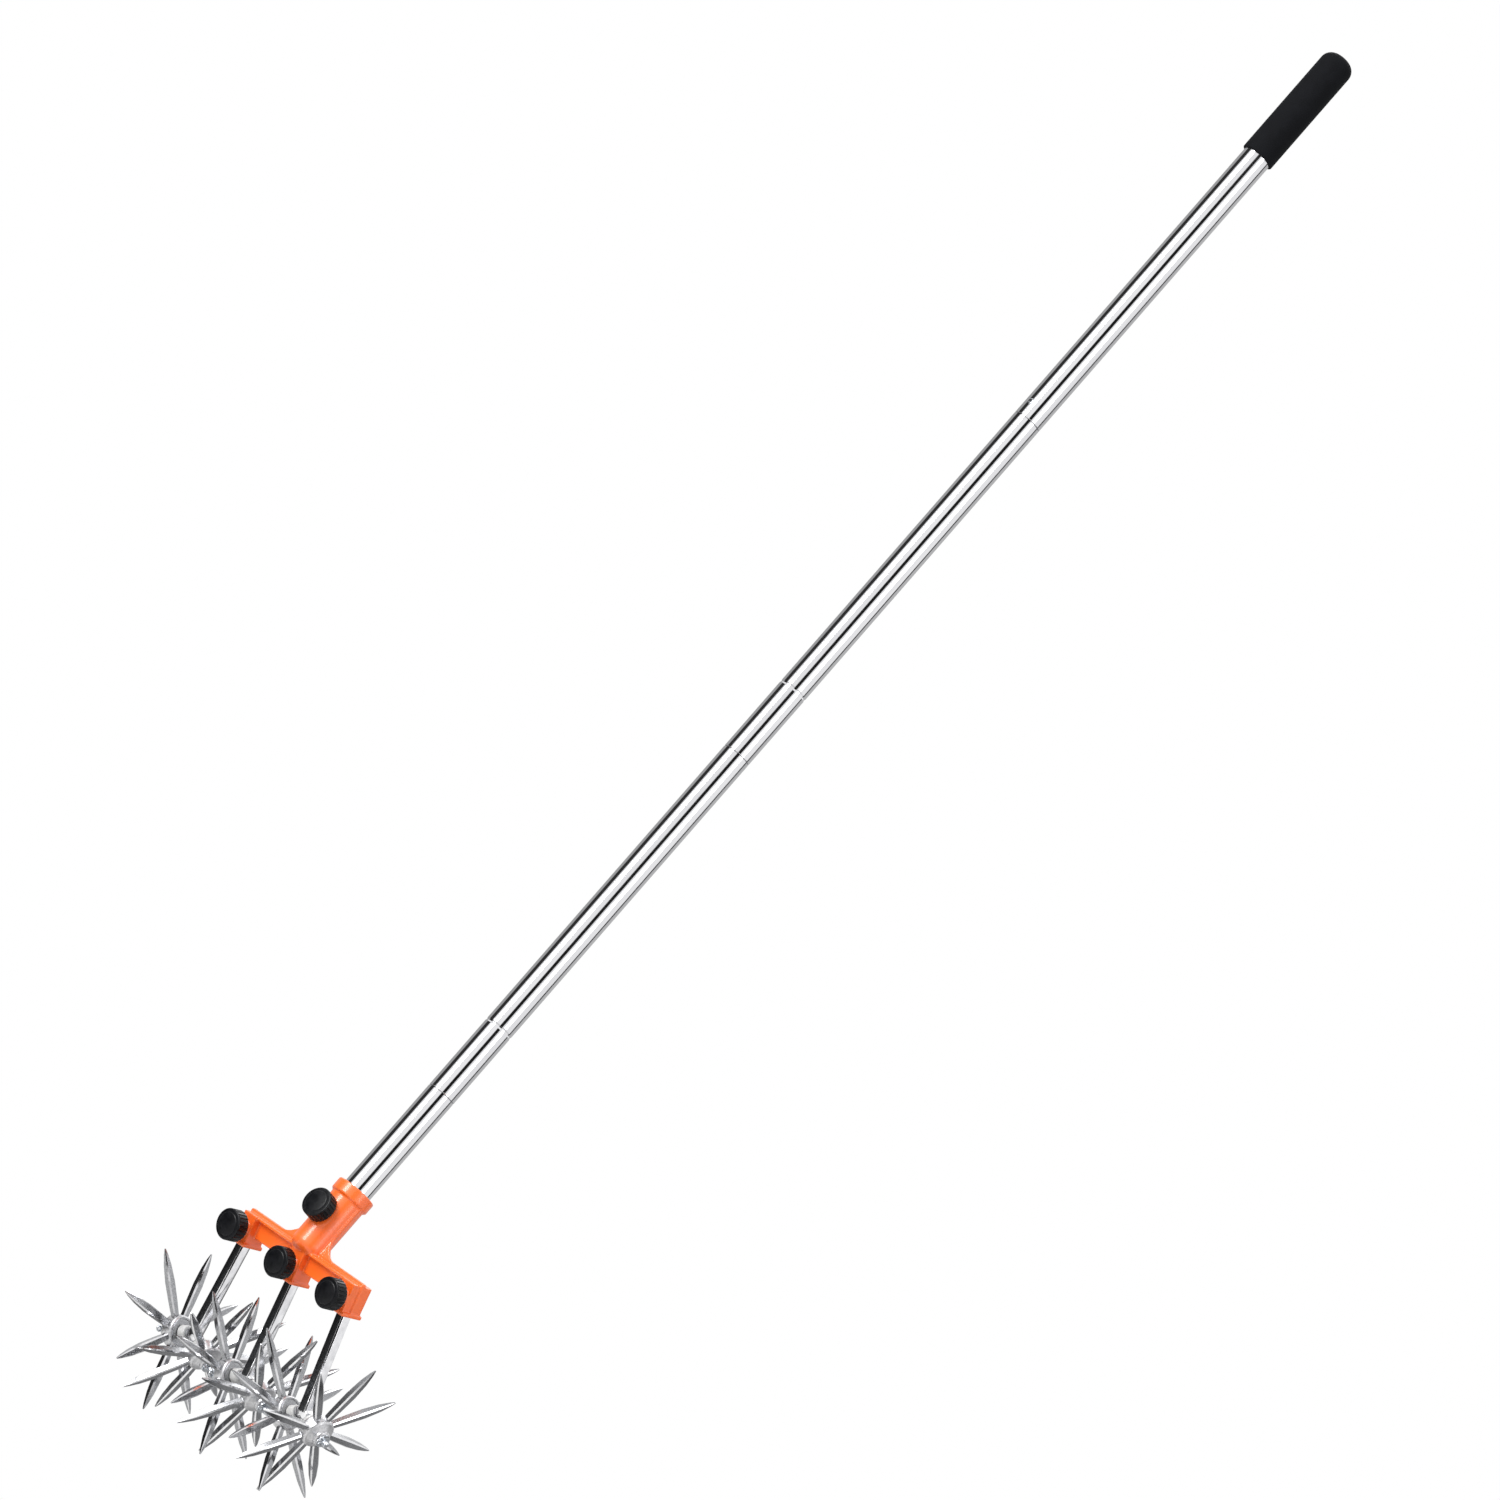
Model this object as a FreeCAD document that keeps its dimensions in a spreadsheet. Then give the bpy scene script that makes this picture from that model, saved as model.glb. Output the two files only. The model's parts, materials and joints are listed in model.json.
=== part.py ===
"""A rotary hand cultivator: a sectional steel pole, a cast head and six rolling star wheels.

The frame: +Z runs up the pole, +X along the head's bar, and -Y is the front, where the
clamp knobs face. The origin is on the pole's axis at the lower end of the grip.
Lengths are millimetres and angles are degrees.
"""
import FreeCAD
import Part
import Sketcher
import math
import os
import re

SIZES = {
    # the pole, from the grip down
    "tube_diameter": 25.0,
    "tube_wall": 0.9,
    "tube_edge": 0.4,
    "joint_gap": 0.3,
    "grip_diameter": 29.2,
    "grip_straight": 99.0,
    "grip_dome": 10.0,
    "grip_edge": 0.8,
    "grip_cap": 8.0,
    "top_section": 293.5,
    "middle_section": 364.0,
    "stub_showing": 103.0,
    # the crimped grooves and the rivet that hold the threaded plugs
    "crimp_height": 69.9,
    "crimp_width": 3.0,
    "crimp_depth": 0.5,
    "plug_past_crimp": 6.1,
    "plug_bore": 9.0,
    "thread_diameter": 16.0,
    "thread_length": 24.0,
    "thread_edge": 1.2,
    "insert_length": 30.0,
    "rivet_height": 13.0,
    "rivet_shank": 3.2,
    "rivet_head": 5.6,
    "rivet_rise": 0.9,
    "rivet_depth": 4.5,
    "end_plug_length": 12.0,
    "end_plug_flange": 1.6,
    "end_plug_wall": 3.0,
    # the cast head: bar, clamp blocks, socket and webs
    "pole_lean": 23.7,
    "pole_cross": 16.3,
    "bar_width": 145.0,
    "bar_depth": 19.5,
    "bar_rise": 13.3,
    "bar_drop": 4.2,
    "panel_thickness": 5.5,
    "lip_height": 2.4,
    "lip_inset": 1.6,
    "ridge_width": 4.0,
    "ridge_rise": 2.5,
    "ridge_rounding": 1.5,
    "end_step": 1.8,
    "clamp_spacing": 64.0,
    "block_width": 15.8,
    "block_drop": 13.5,
    "flange_height": 3.2,
    "flange_lip": 1.4,
    "boss_diameter": 13.0,
    "boss_rise": 7.0,
    "middle_drop": 2.85,
    "socket_diameter": 31.0,
    "collar_diameter": 35.0,
    "collar_height": 9.8,
    "collar_step": 1.6,
    "rim_edge": 0.8,
    "socket_top": 57.6,
    "socket_foot": 8.6,
    "socket_rounding": 8.0,
    "socket_depth": 52.0,
    "socket_play": 0.15,
    "clamp_height": 27.6,
    "clamp_boss_rise": 1.1,
    "web_thickness": 3.2,
    "web_radius": 20.0,
    "web_rib": 0.8,
    # the clamp knobs and their screws
    "knob_diameter": 26.0,
    "knob_thickness": 12.0,
    "knob_edge": 0.8,
    "knob_disc": 19.6,
    "knob_disc_step": 0.6,
    "knob_gap": 0.6,
    "knob_grooves": 24,
    "knob_groove_radius": 1.2,
    "knob_socket": 8.0,
    "screw_diameter": 6.0,
    "screw_tip": 4.4,
    "screw_tip_length": 1.6,
    # the shanks and their yokes
    "shank_width": 8.8,
    "shank_depth": 10.2,
    "shank_bevel": 1.1,
    "shank_rise": 10.0,
    "shank_splay": 4.4,
    "clamp_to_yoke": 97.4,
    "slot_play": 0.25,
    "slot_roof": 0.3,
    "arm_slope": 24.0,
    "arm_length": 6.7,
    "arm_thickness": 8.4,
    "arm_depth": 8.6,
    "arm_bevel": 1.2,
    # the axles and what sits on them, as distances from the yoke's middle along an arm
    "axle_diameter": 5.5,
    "axle_root": 2.2,
    "axle_collar": 8.0,
    "axle_collar_length": 1.3,
    "axle_reach": 38.4,
    "axle_edge": 0.6,
    "spacer_diameter": 12.0,
    "spacer_edge": 0.5,
    "washer_diameter": 12.4,
    "washer_thickness": 1.2,
    "pin_distance": 34.7,
    "pin_wire": 1.8,
    "pin_length": 9.6,
    "pin_eye": 1.9,
    # the star wheels
    "hub_reach": 20.4,
    "hub_diameter": 27.5,
    "hub_thickness": 11.6,
    "hub_edge": 1.4,
    "hub_recess": 21.0,
    "hub_recess_depth": 0.8,
    "hub_cone": 2.4,
    "nose_diameter": 14.4,
    "nose_length": 5.6,
    "nose_edge": 1.8,
    "wheel_diameter": 139.6,
    "tine_count": 8,
    "tine_width": 7.8,
    "tine_thickness": 7.0,
    # clearances and the overrun of cuts
    "running_play": 0.05,
    "axle_play": 0.08,
    "end_play": 0.2,
    "touch_gap": 0.1,
    "overrun": 1.0,
}

# Along a tine, as shares of the wheel's radius, the tine's width and its thickness.
TINE_REACH_SHARES = (0.15, 0.36, 0.6, 0.8, 0.93, 1.0)
TINE_WIDTH_SHARES = (0.7, 0.88, 1.0, 0.82, 0.46, 0.16)
TINE_THICKNESS_SHARES = (0.78, 0.92, 1.0, 0.84, 0.52, 0.2)
TINE_BEVEL_SHARE = 0.27

# How far each wheel is turned from having a tine straight up, left to right.
WHEEL_TURNS = (27.5, 7.0, 26.5, -4.5, 25.5, -6.0)

DOCUMENT = FreeCAD.newDocument("rotary_hand_cultivator")
SHEET = DOCUMENT.addObject("Spreadsheet::Sheet", "Sizes")
NODES = []


def fill_sheet():
    """Write each named size in the sheet, with its name beside it."""
    for row, (name, amount) in enumerate(SIZES.items(), start=1):
        SHEET.set(f"A{row}", name)
        SHEET.set(f"B{row}", str(amount))
        SHEET.setAlias(f"B{row}", name)
    DOCUMENT.recompute()


def formula(text):
    """Point every size's name in a formula at its cell in the sheet."""
    def cell(match):
        word = match.group(0)
        return f"Sizes.{word}" if word in SIZES else word
    return re.sub(r"[a-z][a-z_]*", cell, text)


def value(text):
    """The present value of a formula."""
    result = SHEET.evalExpression(re.sub(r"Sizes\.", "", formula(text)))
    return float(getattr(result, "Value", result))


def bind(thing, prop, text):
    """Tie a property to a formula of the sheet's sizes."""
    thing.setExpression(prop, formula(text))


def axis(x, y, z):
    return FreeCAD.Vector(x, y, z)


RIGHT = axis(1, 0, 0)
BACK = axis(0, 1, 0)
UP = axis(0, 0, 1)


def shift(x="0", y="0", z="0", turn=None, about=UP):
    """A place given by three formulas, and a turn in degrees about an axis."""
    spin = FreeCAD.Rotation(about, value(turn)) if turn else FreeCAD.Rotation()
    return FreeCAD.Placement(axis(value(x), value(y), value(z)), spin)


# Helpers for bodies, sketches and features


def new_body(name):
    body = DOCUMENT.addObject("PartDesign::Body", name)
    body.Label = name
    return body


def finish_body(body, place=None):
    """Set a finished body in its place and list it as one of the nodes."""
    if place is not None:
        body.Placement = place
    NODES.append(body)
    return body


def origin_feature(body, role):
    return next(f for f in body.Origin.OriginFeatures if f.Role == role)


def new_sketch(body, name, plane, place=None, height="0"):
    """A sketch on one of the body's own planes, moved within it by a placement or a height."""
    sketch = body.newObject("Sketcher::SketchObject", name)
    sketch.AttachmentSupport = [(origin_feature(body, plane), "")]
    sketch.MapMode = "FlatFace"
    if place is not None:
        sketch.AttachmentOffset = place
    if height != "0":
        bind(sketch, "AttachmentOffset.Base.z", height)
    return sketch


def arc_between(start, end, radius, sense):
    """The shorter arc from start to end, to the left of the way (ccw) or to its right (cw)."""
    half = (end - start) * 0.5
    rise = math.sqrt(max(radius ** 2 - half.Length ** 2, 0))
    side = axis(-half.y, half.x, 0).normalize()
    centre = start + half + side * (rise if sense == "ccw" else -rise)
    first, last = (start, end) if sense == "ccw" else (end, start)
    angles = [math.atan2(p.y - centre.y, p.x - centre.x) for p in (first, last)]
    return Part.ArcOfCircle(Part.Circle(centre, UP, radius), angles[0], angles[1])


def tie(sketch, kind, where, text):
    """Fix one corner's distance from the sketch's origin to a formula."""
    edge, end = where
    index = sketch.addConstraint(Sketcher.Constraint(kind, -1, 1, edge, end, value(text)))
    sketch.setExpression(f"Constraints[{index}]", formula(text))


def outline(body, name, plane, corners, place=None, height="0"):
    """A closed outline.

    Each corner is two formulas. Two more words, a radius and ccw or cw, make the stretch
    that arrives at the corner an arc.
    """
    sketch = new_sketch(body, name, plane, place, height)
    points = [axis(value(c[0]), value(c[1]), 0) for c in corners]
    ends = []
    for index, corner in enumerate(corners):
        start, end = points[index - 1], points[index]
        if len(corner) == 2:
            sketch.addGeometry(Part.LineSegment(start, end), False)
            ends.append((1, 2))
            continue
        sketch.addGeometry(arc_between(start, end, value(corner[2]), corner[3]), False)
        ends.append((1, 2) if corner[3] == "ccw" else (2, 1))
    for index, corner in enumerate(corners):
        following = (index + 1) % len(corners)
        joint = Sketcher.Constraint("Coincident", index, ends[index][1], following, ends[following][0])
        sketch.addConstraint(joint)
        tie(sketch, "DistanceX", (index, ends[index][1]), corner[0])
        tie(sketch, "DistanceY", (index, ends[index][1]), corner[1])
        if len(corner) == 4:
            bend = sketch.addConstraint(Sketcher.Constraint("Radius", index, value(corner[2])))
            sketch.setExpression(f"Constraints[{bend}]", formula(corner[2]))
    return sketch


def ring(body, name, plane, radius, across="0", along="0", place=None, height="0"):
    """A circle whose centre and radius are formulas."""
    sketch = new_sketch(body, name, plane, place, height)
    centre = axis(value(across), value(along), 0)
    sketch.addGeometry(Part.Circle(centre, UP, value(radius)), False)
    index = sketch.addConstraint(Sketcher.Constraint("Radius", 0, value(radius)))
    sketch.setExpression(f"Constraints[{index}]", formula(radius))
    tie(sketch, "DistanceX", (0, 3), across)
    tie(sketch, "DistanceY", (0, 3), along)
    return sketch


def feature(body, kind, name, sketch, **settings):
    """A feature of one sketch; settings that are words of a formula are tied to the sheet."""
    made = body.newObject(f"PartDesign::{kind}", name)
    made.Profile = sketch
    for prop, setting in settings.items():
        if isinstance(setting, str) and prop in ("Length", "Length2"):
            bind(made, prop, setting)
        else:
            setattr(made, prop, setting)
    return made


def pad(body, sketch, length, side="One side", flip=False):
    return feature(body, "Pad", f"{sketch.Name}_pad", sketch, Length=length, SideType=side, Reversed=flip)


def cut(body, sketch, length, side="One side", flip=False):
    return feature(body, "Pocket", f"{sketch.Name}_cut", sketch, Length=length, SideType=side, Reversed=flip)


def turn(body, sketch, kind="Revolution"):
    """Turn a half outline about the sketch's upright axis."""
    return feature(body, kind, f"{sketch.Name}_turn", sketch, ReferenceAxis=(sketch, ["V_Axis"]), Angle=360)


def repeat_round(body, original, count):
    """Repeat a feature evenly about the body's upright axis."""
    pattern = body.newObject("PartDesign::PolarPattern", f"{original.Name}_round")
    pattern.Originals = [original]
    pattern.Axis = (origin_feature(body, "Z_Axis"), [""])
    pattern.Angle = 360
    bind(pattern, "Occurrences", count)
    body.Tip = pattern
    return pattern


def turned_part(name, corners, place=None):
    """A piece turned about its own upright axis from a half outline of radii and heights."""
    body = new_body(name)
    turn(body, outline(body, f"{name}_outline", "XZ_Plane", corners))
    return finish_body(body, place)


def box_outline(left, right, low, high):
    """The corners of an upright rectangle."""
    return [(left, low), (right, low), (right, high), (left, high)]


def bevelled(wide, deep, bevel):
    """The corners of a rectangle about the origin with its four corners cut off."""
    half_x, half_y = f"({wide}) / 2", f"({deep}) / 2"
    corners = []
    for sx, sy in ((1, 1), (-1, 1), (-1, -1), (1, -1)):
        near = (f"{sx} * ({half_x} - {bevel})", f"{sy} * {half_y}")
        far = (f"{sx} * {half_x}", f"{sy} * ({half_y} - {bevel})")
        corners += [far, near] if sx * sy > 0 else [near, far]
    return corners


# Places: the frames that the pieces are set in


def pole_place(below):
    """A place on the pole's axis, a formula's length below the grip's lower end."""
    return shift(z=f"-({below})")


JOINT_DEPTHS = {
    "top": "top_section",
    "upper": "top_section + middle_section",
    "lower": "top_section + 2 * middle_section",
    "rim": "top_section + 2 * middle_section + stub_showing",
}


def head_place():
    """The head's frame: in the middle of the bar at the side clamps' height, upright along the shanks."""
    crossing = shift(z=f"-({JOINT_DEPTHS['rim']} + socket_top)", turn="pole_lean", about=RIGHT)
    return crossing.multiply(shift(z="-pole_cross"))


SIDES = {"left": -1, "middle": 0, "right": 1}


def block_middle(side):
    """How far a clamp block's middle lies from the bar's middle, as a formula."""
    return f"{SIDES[side]} * clamp_spacing"


def side_drop(side):
    """How far below the side clamps a block's clamp lies, as a formula."""
    return "0" if SIDES[side] else "middle_drop"


def shank_place(side):
    """The frame of a shank, at its clamp, with its own splay."""
    splay = f"{-SIDES[side]} * shank_splay"
    inner = shift(x=block_middle(side), z=f"-({side_drop(side)})", turn=splay, about=BACK)
    return head_place().multiply(inner)


ARMS = [("left", -1), ("left", 1), ("middle", -1), ("middle", 1), ("right", -1), ("right", 1)]


def arm_place(arm):
    """The frame of a yoke's arm: at the yoke's middle, its upright axis out along the arm."""
    side, way = arm
    inner = shift(z="-clamp_to_yoke", turn=f"{way} * (90 + arm_slope)", about=BACK)
    return shank_place(side).multiply(inner)


# The pole


def crimp(height, radius, side):
    """The corners of a rolled groove in a wall, from above to below when side is 1."""
    half = f"{side} * crimp_width / 2"
    return [
        (radius, f"{height} + {half}"),
        (f"{radius} - crimp_depth", f"{height} + {half} / 3"),
        (f"{radius} - crimp_depth", f"{height} - {half} / 3"),
        (radius, f"{height} - {half}"),
    ]


def make_tube(name, foot, length, crimped):
    """A pole section; foot is how deep its lower end lies, length how far it goes up."""
    outer, inner = "tube_diameter / 2", "tube_diameter / 2 - tube_wall"
    corners = [(inner, "0"), (f"{outer} - tube_edge", "0"), (outer, "tube_edge")]
    if crimped:
        corners += crimp("crimp_height", outer, -1)
    corners += [(outer, f"{length} - tube_edge"), (f"{outer} - tube_edge", length), (inner, length)]
    if crimped:
        corners += crimp("crimp_height", inner, 1)
    return turned_part(name, corners, pole_place(foot))


def make_plug(joint, crimped):
    """The plug held in a section's lower end, with the threaded stud that stands out of it."""
    outer = "tube_diameter / 2 - tube_wall"
    thread = "thread_diameter / 2"
    corners = [
        ("plug_bore / 2", "-thread_length"),
        (f"{thread} - thread_edge", "-thread_length"),
        (thread, "thread_edge - thread_length"),
        (thread, "0"),
        (outer, "0"),
    ]
    if crimped:
        corners += crimp("crimp_height", outer, -1)
    top = "crimp_height + plug_past_crimp"
    corners += [(outer, top), ("plug_bore / 2", top)]
    return turned_part(f"thread_plug_{joint}", corners, pole_place(JOINT_DEPTHS[joint]))


def make_insert(section, joint):
    """The threaded insert in the top end of the section below a joint."""
    outer = "tube_diameter / 2 - tube_wall - running_play"
    bore = "thread_diameter / 2 + running_play"
    corners = [
        (bore, "-insert_length"),
        (outer, "-insert_length"),
        (outer, "0"),
        (bore, "0"),
    ]
    place = pole_place(f"{JOINT_DEPTHS[joint]} + joint_gap + touch_gap")
    return turned_part(f"thread_insert_{section}", corners, place)


def make_grip():
    """The soft sleeve over the pole's top end, with its domed cap."""
    outer, inner = "grip_diameter / 2", "tube_diameter / 2"
    roof = "grip_straight + grip_dome - grip_cap"
    corners = [
        (inner, "-grip_edge"),
        (f"{outer} - grip_edge", "-grip_edge"),
        (outer, "0", "grip_edge", "ccw"),
        (outer, "grip_straight"),
        (f"{outer} - grip_dome", "grip_straight + grip_dome", "grip_dome", "ccw"),
        ("0", "grip_straight + grip_dome"),
        ("0", roof),
        (inner, roof),
    ]
    return turned_part("grip", corners)


def make_rivet():
    """The rivet that goes through the top section's wall into its plug."""
    shank, head = "rivet_shank / 2", "rivet_head / 2"
    corners = [
        ("0", "-rivet_depth"),
        (shank, "-rivet_depth"),
        (shank, "0"),
        (head, "0"),
        (f"{head} - rivet_rise", "rivet_rise", "rivet_rise", "ccw"),
        ("0", "rivet_rise"),
    ]
    seat = shift(z=f"rivet_height - ({JOINT_DEPTHS['top']})").multiply(
        shift(y="-tube_diameter / 2", turn="90", about=RIGHT))
    return turned_part("plug_rivet", corners, seat)


def make_pole():
    """Every piece of the pole from the grip to the end plug."""
    make_grip()
    roof = "top_section + grip_straight + grip_dome - grip_cap"
    top = make_tube("tube_top", JOINT_DEPTHS["top"], roof, False)
    full = "middle_section - joint_gap"
    make_tube("tube_upper", JOINT_DEPTHS["upper"], full, True)
    make_tube("tube_lower", JOINT_DEPTHS["lower"], full, True)
    inside = "socket_depth - end_plug_flange - touch_gap"
    stub = f"stub_showing + {inside} - joint_gap"
    make_tube("tube_stub", f"{JOINT_DEPTHS['rim']} + {inside}", stub, False)
    plug = make_plug("top", False)
    rivet_seat(top)
    rivet_seat(plug)
    make_rivet()
    make_plug("upper", True)
    make_plug("lower", True)
    make_insert("upper", "top")
    make_insert("lower", "upper")
    make_insert("stub", "lower")
    make_end_plug(inside)


def rivet_seat(body):
    """Cut the rivet's hole in a piece at the top joint."""
    name, floor = f"{body.Name}_rivet_hole", "tube_diameter / 2 - rivet_depth"
    hole = ring(body, name, "XZ_Plane", "rivet_shank / 2", along="rivet_height", height=floor)
    cut(body, hole, "rivet_depth + overrun", flip=True)


def make_end_plug(inside):
    """The plastic plug in the pole's bottom end."""
    core = "tube_diameter / 2 - tube_wall - running_play"
    corners = [
        (f"{core} - end_plug_wall", "0"),
        ("0", "0"),
        ("0", "-end_plug_flange - touch_gap"),
        ("tube_diameter / 2 - tube_edge", "-end_plug_flange - touch_gap"),
        ("tube_diameter / 2 - tube_edge", "-touch_gap"),
        (core, "-touch_gap"),
        (core, "end_plug_length"),
        (f"{core} - end_plug_wall", "end_plug_length"),
    ]
    turned_part("stub_end_plug", corners, pole_place(f"{JOINT_DEPTHS['rim']} + {inside}"))


# The cast head


def block_span(side):
    """A clamp block's left and right face; an outer block ends where the bar does."""
    middle = block_middle(side)
    left = "-bar_width / 2" if side == "left" else f"{middle} - block_width / 2"
    right = "bar_width / 2" if side == "right" else f"{middle} + block_width / 2"
    return left, right


def add_bar(body):
    """The bar between the blocks, before its recesses."""
    half = "(bar_depth / 2 - lip_inset)"
    section = box_outline(f"-{half}", half, "-bar_drop", "bar_rise")
    pad(body, outline(body, "bar", "YZ_Plane", section), "bar_width", side="Symmetric")


def add_ridge(body):
    """The ridge along the middle of the bar's top, with rounded ends."""
    half, top, bend = "bar_width / 2", "bar_rise + ridge_rise", "ridge_rounding"
    corners = [
        (f"-({half})", "0"),
        (half, "0"),
        (half, f"{top} - {bend}"),
        (f"{half} - {bend}", top, bend, "ccw"),
        (f"{bend} - {half}", top),
        (f"-({half})", f"{top} - {bend}", bend, "ccw"),
    ]
    pad(body, outline(body, "ridge", "XZ_Plane", corners), "ridge_width", side="Symmetric")


def add_block(body, side):
    """A clamp block with the lip round its foot and the boss that its screw goes through."""
    drop = side_drop(side)
    left, right = block_span(side)
    foot, deep, lip = f"-block_drop - {drop}", "bar_depth / 2", "flange_lip"
    upright = box_outline(left, right, f"-{deep}", deep)
    column = outline(body, f"block_{side}", "XY_Plane", upright, height=foot)
    pad(body, column, f"bar_rise + block_drop + {drop}")
    around = box_outline(f"{left} - {lip}", f"{right} + {lip}", f"-{deep} - {lip}", f"{deep} + {lip}")
    pad(body, outline(body, f"flange_{side}", "XY_Plane", around, height=foot), "flange_height")
    boss = ring(body, f"boss_{side}", "XZ_Plane", "boss_diameter / 2", block_middle(side), f"-({drop})")
    pad(body, boss, f"{deep} + boss_rise")


def cut_end_steps(body):
    """The front half of each end face lies a step behind the back half."""
    inner, outer = "bar_width / 2 - end_step", "bar_width / 2 + overrun"
    front, back = "-bar_depth / 2 - overrun", "-ridge_width / 2"
    for name, left, right in (("right", inner, outer), ("left", f"-({outer})", f"-({inner})")):
        step = outline(body, f"end_step_{name}", "XY_Plane", box_outline(left, right, front, back),
                       height="flange_height - block_drop")
        cut(body, step, "bar_rise + block_drop", flip=True)


def cut_recesses(body):
    """The recesses under the bar's ledges, in front of its panel and behind it."""
    low, high = "-bar_drop - overrun", "bar_rise - lip_height"
    spans = {
        "left": (block_span("left")[1], block_span("middle")[0]),
        "right": (block_span("middle")[1], block_span("right")[0]),
    }
    for name, (left, right) in spans.items():
        for way, side in ((1, "front"), (-1, "back")):
            hollow = outline(body, f"recess_{side}_{name}", "XZ_Plane", box_outline(left, right, low, high),
                             height=f"{way} * panel_thickness / 2")
            cut(body, hollow, "bar_depth", flip=side == "front")


def socket_frame():
    """How a sketch on the side plane is turned so that its upright axis is the pole's."""
    return shift(y="pole_cross", turn="-pole_lean", about=UP)


def front_frame():
    """How a sketch on the front plane is turned so that it contains the pole's axis."""
    return shift(y="pole_cross", turn="-pole_lean", about=RIGHT)


def add_socket(body):
    """The leaning barrel, its collar, and the rounded foot that goes down into the bar."""
    barrel, collar = "socket_diameter / 2", "collar_diameter / 2"
    step = "socket_top - collar_height"
    corners = [
        ("0", "-socket_foot"),
        (f"{barrel} - socket_rounding", "-socket_foot"),
        (barrel, "socket_rounding - socket_foot", "socket_rounding", "ccw"),
        (barrel, f"{step} - collar_step"),
        (collar, step),
        (collar, "socket_top - rim_edge"),
        (f"{collar} - rim_edge", "socket_top", "rim_edge", "ccw"),
        ("0", "socket_top"),
    ]
    turn(body, outline(body, "socket", "YZ_Plane", corners, place=socket_frame()))


def add_webs(body):
    """The two webs at the barrel's sides: narrow ribs up to the collar that curve out to the bar."""
    barrel, bend = "socket_diameter / 2", "(web_radius - web_rib)"
    root = "(bar_rise + ridge_rise - web_thickness / 2 * sin(pole_lean) - pole_cross) / cos(pole_lean)"
    low = f"{root} - web_rib"
    corners = [
        ("0", low),
        (f"{barrel} + web_radius", low),
        (f"{barrel} + web_radius", root),
        (f"{barrel} + web_rib", f"{root} + {bend}", bend, "cw"),
        (f"{barrel} + web_rib", "socket_top - collar_height"),
        ("0", "socket_top - collar_height"),
    ]
    mirrored = [(f"-({c[0]})", c[1]) + ((c[2], "ccw") if len(c) == 4 else ()) for c in corners]
    for name, points in (("web_right", corners), ("web_left", mirrored)):
        web = outline(body, name, "XZ_Plane", points, place=front_frame())
        pad(body, web, "web_thickness", side="Symmetric")


def add_socket_clamp(body):
    """The low boss on the barrel's front for the pole's clamp screw."""
    radius = "boss_diameter / 2"
    boss = ring(body, "boss_pole", "XZ_Plane", radius, along="clamp_height", place=front_frame())
    pad(body, boss, "socket_diameter / 2 + clamp_boss_rise")


def cut_socket(body):
    """The pole's bore, and the clamp screw's hole into it."""
    bore = "tube_diameter / 2 + socket_play"
    floor = "socket_top - socket_depth"
    corners = [("0", floor), (bore, floor), (bore, "socket_top + overrun"), ("0", "socket_top + overrun")]
    turn(body, outline(body, "socket_bore", "YZ_Plane", corners, place=socket_frame()), kind="Groove")
    radius = "screw_diameter / 2 + running_play"
    hole = ring(body, "pole_screw_hole", "XZ_Plane", radius, along="clamp_height", place=front_frame())
    cut(body, hole, "socket_diameter / 2 + clamp_boss_rise + overrun", flip=True)


def cut_block(body, side):
    """The shank's slot up into a clamp block, and the screw's hole into the slot."""
    middle, drop = block_middle(side), side_drop(side)
    lean = f"{SIDES[side]} * shank_splay"
    place = shift(x=middle, y=f"-({drop})", turn=lean)
    half = "shank_width / 2 + slot_play"
    low = "-block_drop - overrun"
    slot = outline(body, f"slot_{side}", "XZ_Plane",
                   box_outline(f"-({half})", half, low, "shank_rise + slot_roof"), place=place)
    cut(body, slot, "shank_depth + 2 * slot_play", side="Symmetric")
    radius = "screw_diameter / 2 + running_play"
    hole = ring(body, f"screw_hole_{side}", "XZ_Plane", radius, middle, f"-({drop})")
    cut(body, hole, "bar_depth / 2 + boss_rise + overrun", flip=True)


def make_head():
    body = new_body("head_casting")
    add_bar(body)
    for side in SIDES:
        add_block(body, side)
    add_ridge(body)
    add_socket(body)
    add_webs(body)
    add_socket_clamp(body)
    cut_end_steps(body)
    cut_recesses(body)
    cut_socket(body)
    for side in SIDES:
        cut_block(body, side)
    finish_body(body, head_place())


# The clamp knobs and screws, each along its own screw's axis, which points out of the casting


def knob_places():
    """Each clamp's frame, where its knob's back lies and where its screw ends."""
    facing = FreeCAD.Placement(axis(0, 0, 0), FreeCAD.Rotation(RIGHT, 90))
    places = {}
    for side in SIDES:
        spot = shift(x=block_middle(side), z=f"-({side_drop(side)})")
        places[side] = (head_place().multiply(spot).multiply(facing),
                        "bar_depth / 2 + boss_rise + knob_gap", "shank_depth / 2 + touch_gap")
    leaning = shift(z="pole_cross", turn="-pole_lean", about=RIGHT).multiply(shift(z="clamp_height"))
    places["pole"] = (head_place().multiply(leaning).multiply(facing),
                      "socket_diameter / 2 + clamp_boss_rise + knob_gap", "tube_diameter / 2 + touch_gap")
    return places


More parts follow.
